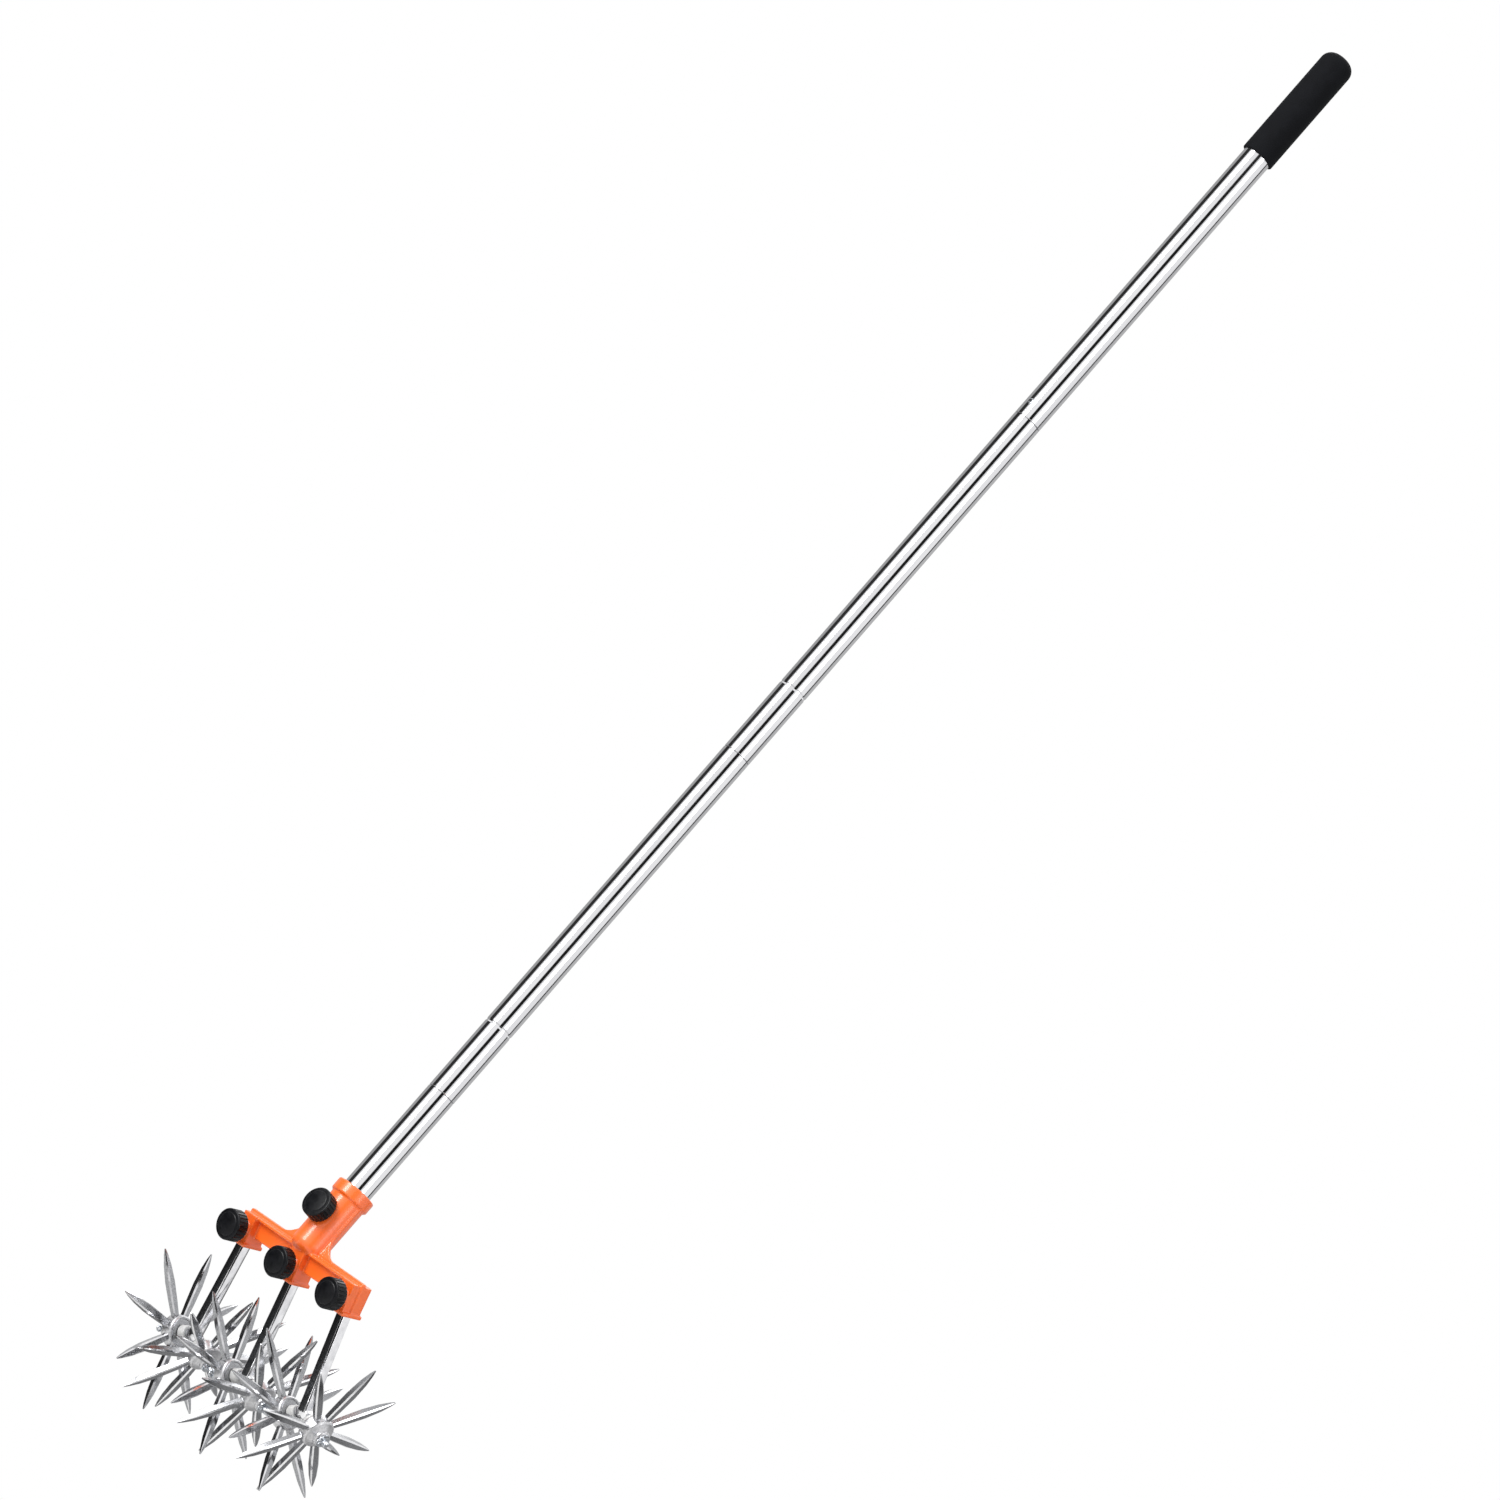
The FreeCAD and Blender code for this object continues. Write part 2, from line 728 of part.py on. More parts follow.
def make_knob(name, place, back):
    """A knob with finger grooves round its rim and a raised disc on its face."""
    body = new_body(name)
    rim, disc, edge = "knob_diameter / 2", "knob_disc / 2", "knob_edge"
    face = "knob_thickness - knob_disc_step"
    bore = "screw_diameter / 2 + running_play"
    corners = [
        (bore, "0"),
        (f"{rim} - {edge}", "0"),
        (rim, edge),
        (rim, f"{face} - {edge}"),
        (f"{rim} - {edge}", face, edge, "ccw"),
        (disc, face),
        (f"{disc} - knob_disc_step", "knob_thickness"),
        ("0", "knob_thickness"),
        ("0", "knob_socket"),
        (bore, "knob_socket"),
    ]
    turn(body, outline(body, f"{name}_outline", "XZ_Plane", corners))
    groove = ring(body, f"{name}_groove", "XY_Plane", "knob_groove_radius",
                  across="knob_diameter / 2 + knob_groove_radius / 2")
    repeat_round(body, cut(body, groove, "knob_thickness", flip=True), "knob_grooves")
    finish_body(body, place.multiply(shift(z=back)))


def make_screw(name, place, back, tip):
    """The screw from inside its knob to the piece that it presses on."""
    shaft = "screw_diameter / 2"
    neck = f"{tip} + screw_tip_length"
    corners = [
        ("0", tip),
        ("screw_tip / 2", tip),
        ("screw_tip / 2", neck),
        (shaft, f"{neck} + ({shaft} - screw_tip / 2)"),
        (shaft, f"{back} + knob_socket - touch_gap"),
        ("0", f"{back} + knob_socket - touch_gap"),
    ]
    turned_part(name, corners, place)


def make_clamps():
    for side, (place, back, tip) in knob_places().items():
        make_screw(f"clamp_screw_{side}", place.copy(), back, tip)
        make_knob(f"clamp_knob_{side}", place.copy(), back)


# The shanks


def arm_outline_place(way):
    """How a sketch on the side plane is turned to face along one of the yoke's arms."""
    return shift(y="-clamp_to_yoke", turn="arm_slope" if way > 0 else "180 - arm_slope", about=RIGHT)


def make_shank(side):
    """One shank: a bevelled bar that ends in a two-armed yoke, bored for its axles."""
    body = new_body(f"shank_{side}")
    bar = outline(body, f"bar_{side}", "XY_Plane", bevelled("shank_width", "shank_depth", "shank_bevel"),
                  height="-clamp_to_yoke")
    pad(body, bar, "clamp_to_yoke + shank_rise")
    for way in (-1, 1):
        section = bevelled("arm_depth", "arm_thickness", "arm_bevel")
        name = f"arm_{side}_{'out' if way > 0 else 'in'}"
        pad(body, outline(body, name, "YZ_Plane", section, place=arm_outline_place(way)), "arm_length")
    for way in (-1, 1):
        bore_arm(body, side, way)
    finish_body(body, shank_place(side))


def bore_arm(body, side, way):
    """The blind hole in one arm of the yoke that its axle is pressed into."""
    place = arm_outline_place(way).multiply(shift(z="axle_root"))
    name = f"axle_hole_{side}_{'out' if way > 0 else 'in'}"
    hole = ring(body, name, "YZ_Plane", "axle_diameter / 2", place=place)
    cut(body, hole, "arm_length + overrun", flip=True)


# What sits on each arm


def make_axle(number, place):
    """An axle pin with its collar, chamfered end and the cross hole for its split pin."""
    body = new_body(f"axle_pin_{number}")
    shaft, collar = "axle_diameter / 2", "axle_collar / 2"
    corners = [
        ("0", "axle_root"),
        (shaft, "axle_root"),
        (shaft, "arm_length"),
        (collar, "arm_length"),
        (collar, "arm_length + axle_collar_length"),
        (shaft, "arm_length + axle_collar_length"),
        (shaft, "axle_reach - axle_edge"),
        (f"{shaft} - axle_edge", "axle_reach"),
        ("0", "axle_reach"),
    ]
    turn(body, outline(body, f"axle_{number}", "XZ_Plane", corners))
    hole = ring(body, f"axle_cross_{number}", "XZ_Plane", "pin_wire / 2", along="pin_distance")
    cut(body, hole, "axle_diameter + overrun", side="Symmetric")
    finish_body(body, place)


SPACER_FOOT = "arm_length + axle_collar_length"
NOSE_TOP = "hub_reach + hub_thickness / 2 + nose_length"


def make_spacer(number, place):
    """The nylon ring between the axle's collar and the floor of the hub's recess."""
    bore, rim, edge = "axle_diameter / 2", "spacer_diameter / 2", "spacer_edge"
    top = "hub_reach - hub_thickness / 2 + hub_recess_depth - end_play"
    corners = [
        (bore, SPACER_FOOT),
        (f"{rim} - {edge}", SPACER_FOOT),
        (rim, f"{SPACER_FOOT} + {edge}"),
        (rim, f"{top} - {edge}"),
        (f"{rim} - {edge}", top),
        (bore, top),
    ]
    turned_part(f"spacer_{number}", corners, place)


def make_washer(number, place):
    """The washer between the hub's nose and the split pin."""
    foot = f"{NOSE_TOP} + end_play"
    corners = [
        ("axle_diameter / 2", foot),
        ("washer_diameter / 2", foot),
        ("washer_diameter / 2", f"{foot} + washer_thickness"),
        ("axle_diameter / 2", f"{foot} + washer_thickness"),
    ]
    turned_part(f"washer_{number}", corners, place)


def make_split_pin(number, place):
    """The split pin through the axle's end: a straight wire with a bent eye."""
    body = new_body(f"split_pin_{number}")
    wire = ring(body, f"wire_{number}", "XZ_Plane", "pin_wire / 2", along="pin_distance")
    pad(body, wire, "pin_length", side="Symmetric")
    pivot = shift(x="-(pin_length / 2 + pin_eye)", y="pin_distance")
    turn(body, ring(body, f"eye_{number}", "YZ_Plane", "pin_wire / 2", "-pin_eye", place=pivot))
    finish_body(body, place)


def tine_section(body, number, station):
    """One cross-section of a tine, at its share of the wheel's radius."""
    wide = f"tine_width * {TINE_WIDTH_SHARES[station]}"
    deep = f"tine_thickness * {TINE_THICKNESS_SHARES[station]}"
    bevel = f"({wide} * {TINE_BEVEL_SHARE})"
    reach = f"wheel_diameter / 2 * {TINE_REACH_SHARES[station]}"
    return outline(body, f"tine_{number}_{station}", "YZ_Plane", bevelled(wide, deep, bevel), height=reach)


def make_wheel(number, place):
    """A star wheel: a hub with a recessed inner face and an outer nose, and its ring of tines."""
    body = new_body(f"star_wheel_{number}")
    sections = [tine_section(body, number, station) for station in range(len(TINE_REACH_SHARES))]
    tine = body.newObject("PartDesign::AdditiveLoft", f"tine_{number}")
    tine.Profile = sections[0]
    tine.Sections = sections[1:]
    tine.Ruled = True
    repeat_round(body, tine, "tine_count")
    bore, rim, nose = "axle_diameter / 2 + axle_play", "hub_diameter / 2", "nose_diameter / 2"
    half, edge = "hub_thickness / 2", "hub_edge"
    corners = [
        (bore, f"hub_recess_depth - {half}"),
        ("hub_recess / 2", f"hub_recess_depth - {half}"),
        ("hub_recess / 2 + hub_recess_depth / 2", f"-({half})"),
        (f"{rim} - {edge}", f"-({half})"),
        (rim, f"{edge} - {half}"),
        (rim, f"{half} - {edge}"),
        (f"{rim} - {edge}", half),
        (nose, f"{half} + hub_cone"),
        (nose, f"{half} + nose_length - nose_edge"),
        (f"{nose} - nose_edge", f"{half} + nose_length", "nose_edge", "ccw"),
        (bore, f"{half} + nose_length"),
    ]
    turn(body, outline(body, f"hub_{number}", "XZ_Plane", corners))
    spin = WHEEL_TURNS[number - 1] * ARMS[number - 1][1]
    finish_body(body, place.multiply(shift(z="hub_reach", turn=str(spin))))


def make_arms():
    for number, arm in enumerate(ARMS, start=1):
        place = arm_place(arm)
        make_axle(number, place.copy())
        make_spacer(number, place.copy())
        make_wheel(number, place.copy())
        make_washer(number, place.copy())
        make_split_pin(number, place.copy())


# Building, checking and writing


def check_document():
    """Stop if any feature failed or any node is empty or broken."""
    for thing in DOCUMENT.Objects:
        if "Invalid" in thing.State or "Error" in thing.State:
            raise RuntimeError(f"{thing.Name} failed: {thing.State}")
    for node in NODES:
        if node.Shape.isNull() or not node.Shape.isValid():
            raise RuntimeError(f"{node.Label} has no valid shape")


def write_nodes():
    os.makedirs("parts", exist_ok=True)
    for node in NODES:
        node.Shape.exportStep(f"parts/{node.Label}.step")
        print(f"{node.Label}: {len(node.Shape.Solids)} solid, {node.Shape.Volume:.1f} mm3")


def main():
    fill_sheet()
    make_pole()
    make_head()
    make_clamps()
    for side in SIDES:
        make_shank(side)
    make_arms()
    DOCUMENT.recompute()
    check_document()
    write_nodes()


main()
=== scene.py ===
"""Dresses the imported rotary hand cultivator: its shapes, its finishes, the studio and the camera.

Places are metres in the part's own frame: +Z runs up the pole, +X along the head's bar, and the
clamp knobs face -Y. A size that a maker would give in millimetres goes through mm().
"""

import json
import logging
import math
from dataclasses import dataclass
from enum import Enum
from typing import Any

import bmesh
import bpy
from bmesh.types import BMesh
from mathutils import Matrix, Vector


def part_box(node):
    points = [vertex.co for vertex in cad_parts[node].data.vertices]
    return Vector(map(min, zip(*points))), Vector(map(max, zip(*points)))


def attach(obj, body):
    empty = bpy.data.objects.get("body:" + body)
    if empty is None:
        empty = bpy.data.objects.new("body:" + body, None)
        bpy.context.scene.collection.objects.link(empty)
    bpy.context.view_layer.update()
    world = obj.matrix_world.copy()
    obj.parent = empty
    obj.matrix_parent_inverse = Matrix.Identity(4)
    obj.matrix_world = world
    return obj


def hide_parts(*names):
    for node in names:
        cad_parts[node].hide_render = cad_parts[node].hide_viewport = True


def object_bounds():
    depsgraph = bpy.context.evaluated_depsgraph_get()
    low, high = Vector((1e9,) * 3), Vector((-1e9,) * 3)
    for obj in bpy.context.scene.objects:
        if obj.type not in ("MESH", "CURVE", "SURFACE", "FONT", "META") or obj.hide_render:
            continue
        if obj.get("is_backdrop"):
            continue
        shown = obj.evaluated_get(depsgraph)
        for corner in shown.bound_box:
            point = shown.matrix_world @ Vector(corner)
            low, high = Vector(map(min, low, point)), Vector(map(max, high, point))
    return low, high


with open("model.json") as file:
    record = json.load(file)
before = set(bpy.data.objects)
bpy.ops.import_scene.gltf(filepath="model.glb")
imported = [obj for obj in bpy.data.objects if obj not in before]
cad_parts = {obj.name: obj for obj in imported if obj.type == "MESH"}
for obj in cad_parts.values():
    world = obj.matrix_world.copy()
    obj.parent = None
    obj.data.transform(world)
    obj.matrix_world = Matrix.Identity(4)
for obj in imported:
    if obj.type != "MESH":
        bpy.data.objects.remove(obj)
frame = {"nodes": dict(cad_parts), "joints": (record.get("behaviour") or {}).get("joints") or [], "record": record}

LOG = logging.getLogger("cultivator")
SIDES = ("left", "middle", "right")
WHEELS = range(1, 7)
WELD = 1e-6
FLAT_WITHIN = math.radians(0.3)
ROUNDING_STEPS = 4
EDGE_STEPS = 2
RINGS_PER_TURN = 8

# The sockets of a colour Mix node, whose names its other kinds share.
MIX_SHARE, MIX_FIRST, MIX_SECOND, MIX_RESULT = 0, 6, 7, 2

# The corners of a turned profile, each as its radius and height.
Outline = list[tuple[float, float]]


def mm(length: float) -> float:
    """Returns a length in millimetres as metres."""
    return length * 0.001


def linear(colour: str) -> tuple[float, float, float, float]:
    """Turns an sRGB hex colour into the linear colour that a shader takes.

    Args:
        colour: the colour as "#rrggbb".

    Returns:
        Linear red, green and blue, and an alpha of 1.
    """
    parts = [int(colour[at:at + 2], 16) / 255 for at in (1, 3, 5)]
    toned = [part / 12.92 if part <= 0.04045 else ((part + 0.055) / 1.055) ** 2.4 for part in parts]
    return (*toned, 1.0)


def grey(level: float) -> tuple[float, float, float, float]:
    """Returns a linear grey, with an alpha of 1."""
    return (level, level, level, 1.0)


def add_node(
    tree: bpy.types.NodeTree,
    kind: str,
    settings: dict[Any, Any] | None = None,
    links: dict[Any, bpy.types.NodeSocket] | None = None,
) -> bpy.types.Node:
    """Adds one shader node, sets it up and links its inputs.

    Args:
        tree: the node tree that gets the node.
        kind: the node's type, such as "ShaderNodeBump".
        settings: properties by name, and input values by socket name or number.
        links: for each linked input, the output that feeds it.

    Returns:
        The new node.
    """
    node = tree.nodes.new(kind)
    for key, value in (settings or {}).items():
        if isinstance(key, str) and hasattr(node, key):
            setattr(node, key, value)
        else:
            node.inputs[key].default_value = value
    for key, source in (links or {}).items():
        tree.links.new(source, node.inputs[key])
    return node


class Slot(Enum):
    """The record's material slots."""

    FOAM = "foam_rubber"
    TUBE = "polished_steel"
    ALUMINIUM = "turned_aluminium"
    FASTENER = "steel_fasteners"
    PLASTIC = "black_plastic"
    ORANGE = "orange_paint"
    SHANK = "plated_steel"
    NYLON = "nylon"
    CASTING = "plated_castings"


@dataclass(frozen=True)
class Finish:
    """A real surface: its colour, its gloss and the grain that its making leaves.

    Args:
        name: the material's common name and how its surface was made.
        colour: its main colour, as sRGB hex.
        tone: the colour that it drifts towards in patches, as sRGB hex.
        roughness: how rough its gloss is in the middle of its range.
        gloss_spread: how far the roughness drifts either way.
        mottle: the size of the patches in millimetres.
        grain: the size of the surface grain in millimetres.
        grain_depth: how deep the grain is in millimetres.
        metallic: 1 for bare or plated metal, 0 for the rest.
        stretch: how much finer the patterns are along X, Y and Z.
        coat: the weight of a clear glossy skin.
        coat_roughness: how rough that skin is.
        shine: how strongly an unplated surface shines, 0.5 for a smooth solid one.
        patch_range: the noise values between which the colour turns into the tone.
        patch_detail: how ragged the patches are.
        grain_detail: how ragged the grain is.
    """

    name: str
    colour: str
    tone: str
    roughness: float
    gloss_spread: float
    mottle: float
    grain: float
    grain_depth: float
    metallic: float = 1.0
    stretch: tuple[float, float, float] = (1.0, 1.0, 1.0)
    coat: float = 0.0
    coat_roughness: float = 0.05
    shine: float = 0.5
    patch_range: tuple[float, float] = (0.35, 0.68)
    patch_detail: float = 4.0
    grain_detail: float = 3.0

    def build(self) -> bpy.types.Material:
        """Makes the material, or returns the one made before.

        Returns:
            The Blender material.
        """
        known = bpy.data.materials.get(self.name)
        if known is not None:
            return known
        material = bpy.data.materials.new(self.name)
        material.use_nodes = True
        tree = material.node_tree
        shader = tree.nodes["Principled BSDF"]
        shader.inputs["Metallic"].default_value = self.metallic
        shader.inputs["Specular IOR Level"].default_value = self.shine
        shader.inputs["Coat Weight"].default_value = self.coat
        shader.inputs["Coat Roughness"].default_value = self.coat_roughness
        self.dress(tree, shader)
        return material

    def dress(self, tree: bpy.types.NodeTree, shader: bpy.types.Node) -> None:
        """Links the patches, the drift of the gloss and the grain to the shader.

        Args:
            tree: the material's node tree.
            shader: its Principled BSDF.
        """
        where = add_node(tree, "ShaderNodeTexCoord")
        place = add_node(
            tree, "ShaderNodeMapping", {"Scale": self.stretch}, {"Vector": where.outputs["Object"]}
        )
        patches = add_node(
            tree, "ShaderNodeTexNoise", {"Scale": 1 / mm(self.mottle), "Detail": self.patch_detail},
            {"Vector": place.outputs[0]},
        )
        share = add_node(
            tree, "ShaderNodeMapRange", {"From Min": self.patch_range[0], "From Max": self.patch_range[1]},
            {"Value": patches.outputs["Fac"]},
        )
        tint = add_node(
            tree, "ShaderNodeMix",
            {"data_type": "RGBA", MIX_FIRST: linear(self.colour), MIX_SECOND: linear(self.tone)},
            {MIX_SHARE: share.outputs[0]},
        )
        tree.links.new(tint.outputs[MIX_RESULT], shader.inputs["Base Color"])
        gloss = add_node(
            tree, "ShaderNodeMapRange",
            {"To Min": self.roughness - self.gloss_spread, "To Max": self.roughness + self.gloss_spread},
            {"Value": share.outputs[0]},
        )
        tree.links.new(gloss.outputs[0], shader.inputs["Roughness"])
        height = self.grain_height(tree, place.outputs[0])
        bump = add_node(tree, "ShaderNodeBump", {"Distance": mm(self.grain_depth)}, {"Height": height})
        tree.links.new(bump.outputs[0], shader.inputs["Normal"])

    def grain_height(self, tree: bpy.types.NodeTree, place: bpy.types.NodeSocket) -> bpy.types.NodeSocket:
        """Draws the surface grain and returns its height."""
        grain = add_node(
            tree, "ShaderNodeTexNoise", {"Scale": 1 / mm(self.grain), "Detail": self.grain_detail},
            {"Vector": place},
        )
        return grain.outputs["Fac"]


@dataclass(frozen=True)
class FoamFinish(Finish):
    """Foam rubber: matt, with the skin dimpled by the cells under it."""

    def grain_height(self, tree: bpy.types.NodeTree, place: bpy.types.NodeSocket) -> bpy.types.NodeSocket:
        """Draws the dimples of the foam's cells and returns their height."""
        cells = add_node(
            tree, "ShaderNodeTexVoronoi", {"Scale": 1 / mm(self.grain), "Randomness": 1.0}, {"Vector": place}
        )
        return cells.outputs["Distance"]


@dataclass(frozen=True)
class TurnedFinish(Finish):
    """Turned metal: fine rings that the tool leaves, one every feed along the pole.

    Args:
        wave_length: how long one wave of a wave texture of scale 1 is, in metres.
        waver: how unevenly the rings run.
    """

    wave_length: float = 0.314
    waver: float = 0.3

    def grain_height(self, tree: bpy.types.NodeTree, place: bpy.types.NodeSocket) -> bpy.types.NodeSocket:
        """Draws the rings that the tool left and returns their height."""
        rings = add_node(
            tree, "ShaderNodeTexWave",
            {
                "wave_type": "BANDS", "bands_direction": "Z",
                "Scale": self.wave_length / mm(self.grain), "Distortion": self.waver,
            },
            {"Vector": place},
        )
        return rings.outputs["Fac"]


# Closed-cell foam sleeve: black, matt, with cells drawn a little coarse so that they show.
FOAM_RUBBER = FoamFinish(
    "foam_rubber_skinned", "#0b0c0f", "#131417", roughness=0.82, gloss_spread=0.06,
    mottle=9.0, grain=0.9, grain_depth=0.12, metallic=0.0, shine=0.1,
)
# Bright polished steel tube: nearly a mirror, with faint polishing lines along its length.
POLISHED_TUBE = Finish(
    "steel_tube_polished", "#e8e8ea", "#dadadd", roughness=0.09, gloss_spread=0.03,
    mottle=14.0, grain=0.5, grain_depth=0.0015, stretch=(1.0, 1.0, 0.04),
)
# Turned aluminium plugs and inserts: satin rings round the axis.
TURNED_ALUMINIUM = TurnedFinish(
    "aluminium_turned", "#cfd0d2", "#bcbec1", roughness=0.32, gloss_spread=0.05,
    mottle=6.0, grain=0.4, grain_depth=0.02,
)
# Bright zinc-plated fasteners: slightly blue, soft gloss.
ZINC_FASTENER = Finish(
    "steel_zinc_plated", "#d3d6da", "#b4b8be", roughness=0.2, gloss_spread=0.08,
    mottle=2.5, grain=0.5, grain_depth=0.006,
)
# Injection-moulded black ABS: satin, with a fine spark-eroded texture from its mould.
MOULDED_ABS = Finish(
    "abs_moulded_satin", "#08090c", "#0e0f13", roughness=0.34, gloss_spread=0.06,
    mottle=5.0, grain=0.35, grain_depth=0.012, metallic=0.0, shine=0.21,
)
# Glossy orange powder coat over die-cast aluminium: a clear skin with slight orange peel.
ORANGE_COAT = Finish(
    "powder_coat_orange", "#ff7023", "#fc6a1e", roughness=0.4, gloss_spread=0.04,
    mottle=30.0, grain=4.0, grain_depth=0.006, metallic=0.0, coat=0.8, coat_roughness=0.19,
)
# The front and back of the plated bars: the drawing's grain, and the plate painted dark there as a painted shade.
BAR_GRAIN_AND_PAINTED_SHADE = Finish(
    "steel_plated_grain_and_painted_shade", "#48494b", "#222325", roughness=0.36, gloss_spread=0.08,
    mottle=0.8, grain=0.45, grain_depth=0.02, stretch=(1.0, 1.0, 0.6),
)
# The bars' flanks and edges and their yokes, burnished bright.
BURNISHED_BAR = Finish(
    "steel_burnished_plated", "#ebebed", "#d8d8db", roughness=0.12, gloss_spread=0.04,
    mottle=6.0, grain=1.2, grain_depth=0.003,
)
# Natural nylon spacers: milky white, waxy.
NATURAL_NYLON = Finish(
    "nylon_natural", "#d2d2d1", "#c4c4c3", roughness=0.42, gloss_spread=0.05,
    mottle=4.0, grain=0.6, grain_depth=0.006, metallic=0.0,
)
# The star wheels' broad cast faces: nickel plate over a sandy, grainy skin, painted darker than the bright plate
# as a painted shade.
CAST_GRAIN_AND_PAINTED_SHADE = Finish(
    "nickel_plate_cast_painted_shade", "#b4b5b8", "#7c7d80", roughness=0.2, gloss_spread=0.06,
    mottle=0.7, grain=0.45, grain_depth=0.012,
)
# Their bevels, linished bright before plating.
LINISHED_FACE = Finish(
    "nickel_plate_linished", "#eeeef0", "#dfdfe2", roughness=0.13, gloss_spread=0.04,
    mottle=4.0, grain=0.8, grain_depth=0.004,
)
# Their hubs, left as they came from the die: satin, pale and a little uneven.
SATIN_HUB = Finish(
    "nickel_plate_satin", "#d6d6d8", "#b9b9bc", roughness=0.36, gloss_spread=0.06,
    mottle=1.6, grain=0.5, grain_depth=0.01,
)

# Each slot's finishes, the main one first. A face's material index picks one of them.
FINISHES: dict[Slot, tuple[Finish, ...]] = {
    Slot.FOAM: (FOAM_RUBBER,),
    Slot.TUBE: (POLISHED_TUBE,),
    Slot.ALUMINIUM: (TURNED_ALUMINIUM,),
    Slot.FASTENER: (ZINC_FASTENER,),
    Slot.PLASTIC: (MOULDED_ABS,),
    Slot.ORANGE: (ORANGE_COAT,),
    Slot.SHANK: (BURNISHED_BAR, BAR_GRAIN_AND_PAINTED_SHADE),
    Slot.NYLON: (NATURAL_NYLON,),
    Slot.CASTING: (LINISHED_FACE, CAST_GRAIN_AND_PAINTED_SHADE, SATIN_HUB),
}
MOST_FINISHES = max(len(finishes) for finishes in FINISHES.values())


def finish_numbers(slot: Slot, *finishes: Finish) -> list[int]:
    """Returns the material indices that these finishes have on a slot's pieces."""
    return [FINISHES[slot].index(finish) for finish in finishes]


def joint_line(name: str) -> tuple[Vector, Vector]:
    """Finds the line that a joint turns about or slides along.

    Args:
        name: the joint's name.

    Returns:
        A point on the line in metres, and its unit direction.
    """
    joint = next(joint for joint in frame["joints"] if joint["name"] == name)
    return Vector(joint.get("pos_m", (0.0, 0.0, 0.0))), Vector(joint["axis"]).normalized()


def body_of(node: str) -> str:
    """Returns the name of the body that carries a node."""
    return next(name for name, nodes in frame["record"]["behaviour"]["bodies"].items() if node in nodes)


def line_frame(point: Vector, along: Vector, across: Vector) -> Matrix:
    """Makes a frame on a line.

    Args:
        point: its origin.
        along: its Z direction.
        across: a direction that its X leans to.

    Returns:
        The matrix from that frame to the part's.
    """
    z_way = along.normalized()
    x_way = (across - z_way * across.dot(z_way)).normalized()
    turn = Matrix((x_way, z_way.cross(x_way), z_way)).transposed()
    return Matrix.Translation(point) @ turn.to_4x4()


def merged_copy(node: str, flat_sided: bool = False) -> BMesh:
    """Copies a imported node's mesh and joins its loose triangles.

    Args:
        node: the node's name.
        flat_sided: whether to make its flat faces whole.

    Returns:
        The copy.
    """
    shape = bmesh.new()
    shape.from_mesh(frame["nodes"][node].data)
    bmesh.ops.remove_doubles(shape, verts=shape.verts, dist=WELD)
    if flat_sided:
        bmesh.ops.dissolve_limit(shape, angle_limit=FLAT_WITHIN, verts=shape.verts, edges=shape.edges)
    return shape


def spun(points: Outline, facets: int) -> BMesh:
    """Turns a closed profile about Z.

    Args:
        points: the profile's corners.
        facets: how many faces the shape gets round the axis.

    Returns:
        The turned shape.
    """
    shape = bmesh.new()
    corners = [shape.verts.new((radius, 0, height)) for radius, height in points]
    edges = [shape.edges.new(pair) for pair in zip(corners, corners[1:] + corners[:1])]
    bmesh.ops.spin(
        shape, geom=[*corners, *edges], cent=(0, 0, 0), axis=(0, 0, 1), dvec=(0, 0, 0), angle=2 * math.pi,
        steps=facets, use_merge=True, use_duplicate=False,
    )
    bmesh.ops.remove_doubles(shape, verts=shape.verts, dist=WELD)
    bmesh.ops.delete(shape, geom=[edge for edge in shape.edges if edge.is_wire], context="EDGES")
    bmesh.ops.recalc_face_normals(shape, faces=shape.faces)
    return shape


def rounding(centre: tuple[float, float], radius: float, start: float, end: float) -> Outline:
    """Gives the points of a rounded corner of a turned profile.

    Args:
        centre: the middle of the rounding, as radius and height.
        radius: how far the corner is rounded.
        start: where the rounding starts, in degrees from straight out.
        end: where it ends.

    Returns:
        The corner's points.
    """
    points = []
    for step in range(ROUNDING_STEPS + 1):
        angle = math.radians(start + (end - start) * step / ROUNDING_STEPS)
        points.append((centre[0] + radius * math.cos(angle), centre[1] + radius * math.sin(angle)))
    return points


@dataclass(frozen=True)
class Thread:
    """A right-hand screw thread.

    Args:
        radius: its outer radius.
        lead: how far it climbs in a turn.
        depth: how deep it is.
        facets: how many faces its stud has round the axis.
    """

    radius: float
    lead: float
    depth: float
    facets: int

    def stud(self, foot: float, head: float, core: Outline) -> BMesh:
        """Turns a stud about Z and cuts the thread into it, fading out at both ends.

        Args:
            foot: the height that the thread starts at.
            head: the height that it ends at.
            core: the rest of the stud's profile, from the thread's top round to its foot.

        Returns:
            The stud's mesh.
        """
        rings = round((head - foot) / self.lead * RINGS_PER_TURN)
        flank = [(self.radius, foot + (head - foot) * step / rings) for step in range(rings + 1)]
        shape = spun(flank + core, self.facets)
        for vert in shape.verts:
            away, height = math.hypot(vert.co.x, vert.co.y), vert.co.z
            if away > self.radius - WELD and foot < height < head:
                turn = height / self.lead - math.atan2(vert.co.y, vert.co.x) / (2 * math.pi)
                fade = max(0.0, min(1.0, (height - foot) / self.lead, (head - height) / self.lead))
                # The groove is a V, deepest where a turn starts and with its crest half a turn on.
                vert.co.xy *= 1 - self.depth * fade * abs(2 * (turn % 1) - 1) / self.radius
        return shape


def joined(first: BMesh, second: BMesh) -> BMesh:
    """Puts two shapes into one mesh, each closed in itself.

    Args:
        first: the shape that takes in the other.
        second: the other shape, which is used up.

    Returns:
        The first shape.
    """
    mesh = bpy.data.meshes.new("part")
    second.to_mesh(mesh)
    second.free()
    first.from_mesh(mesh)
    bpy.data.meshes.remove(mesh)
    return first


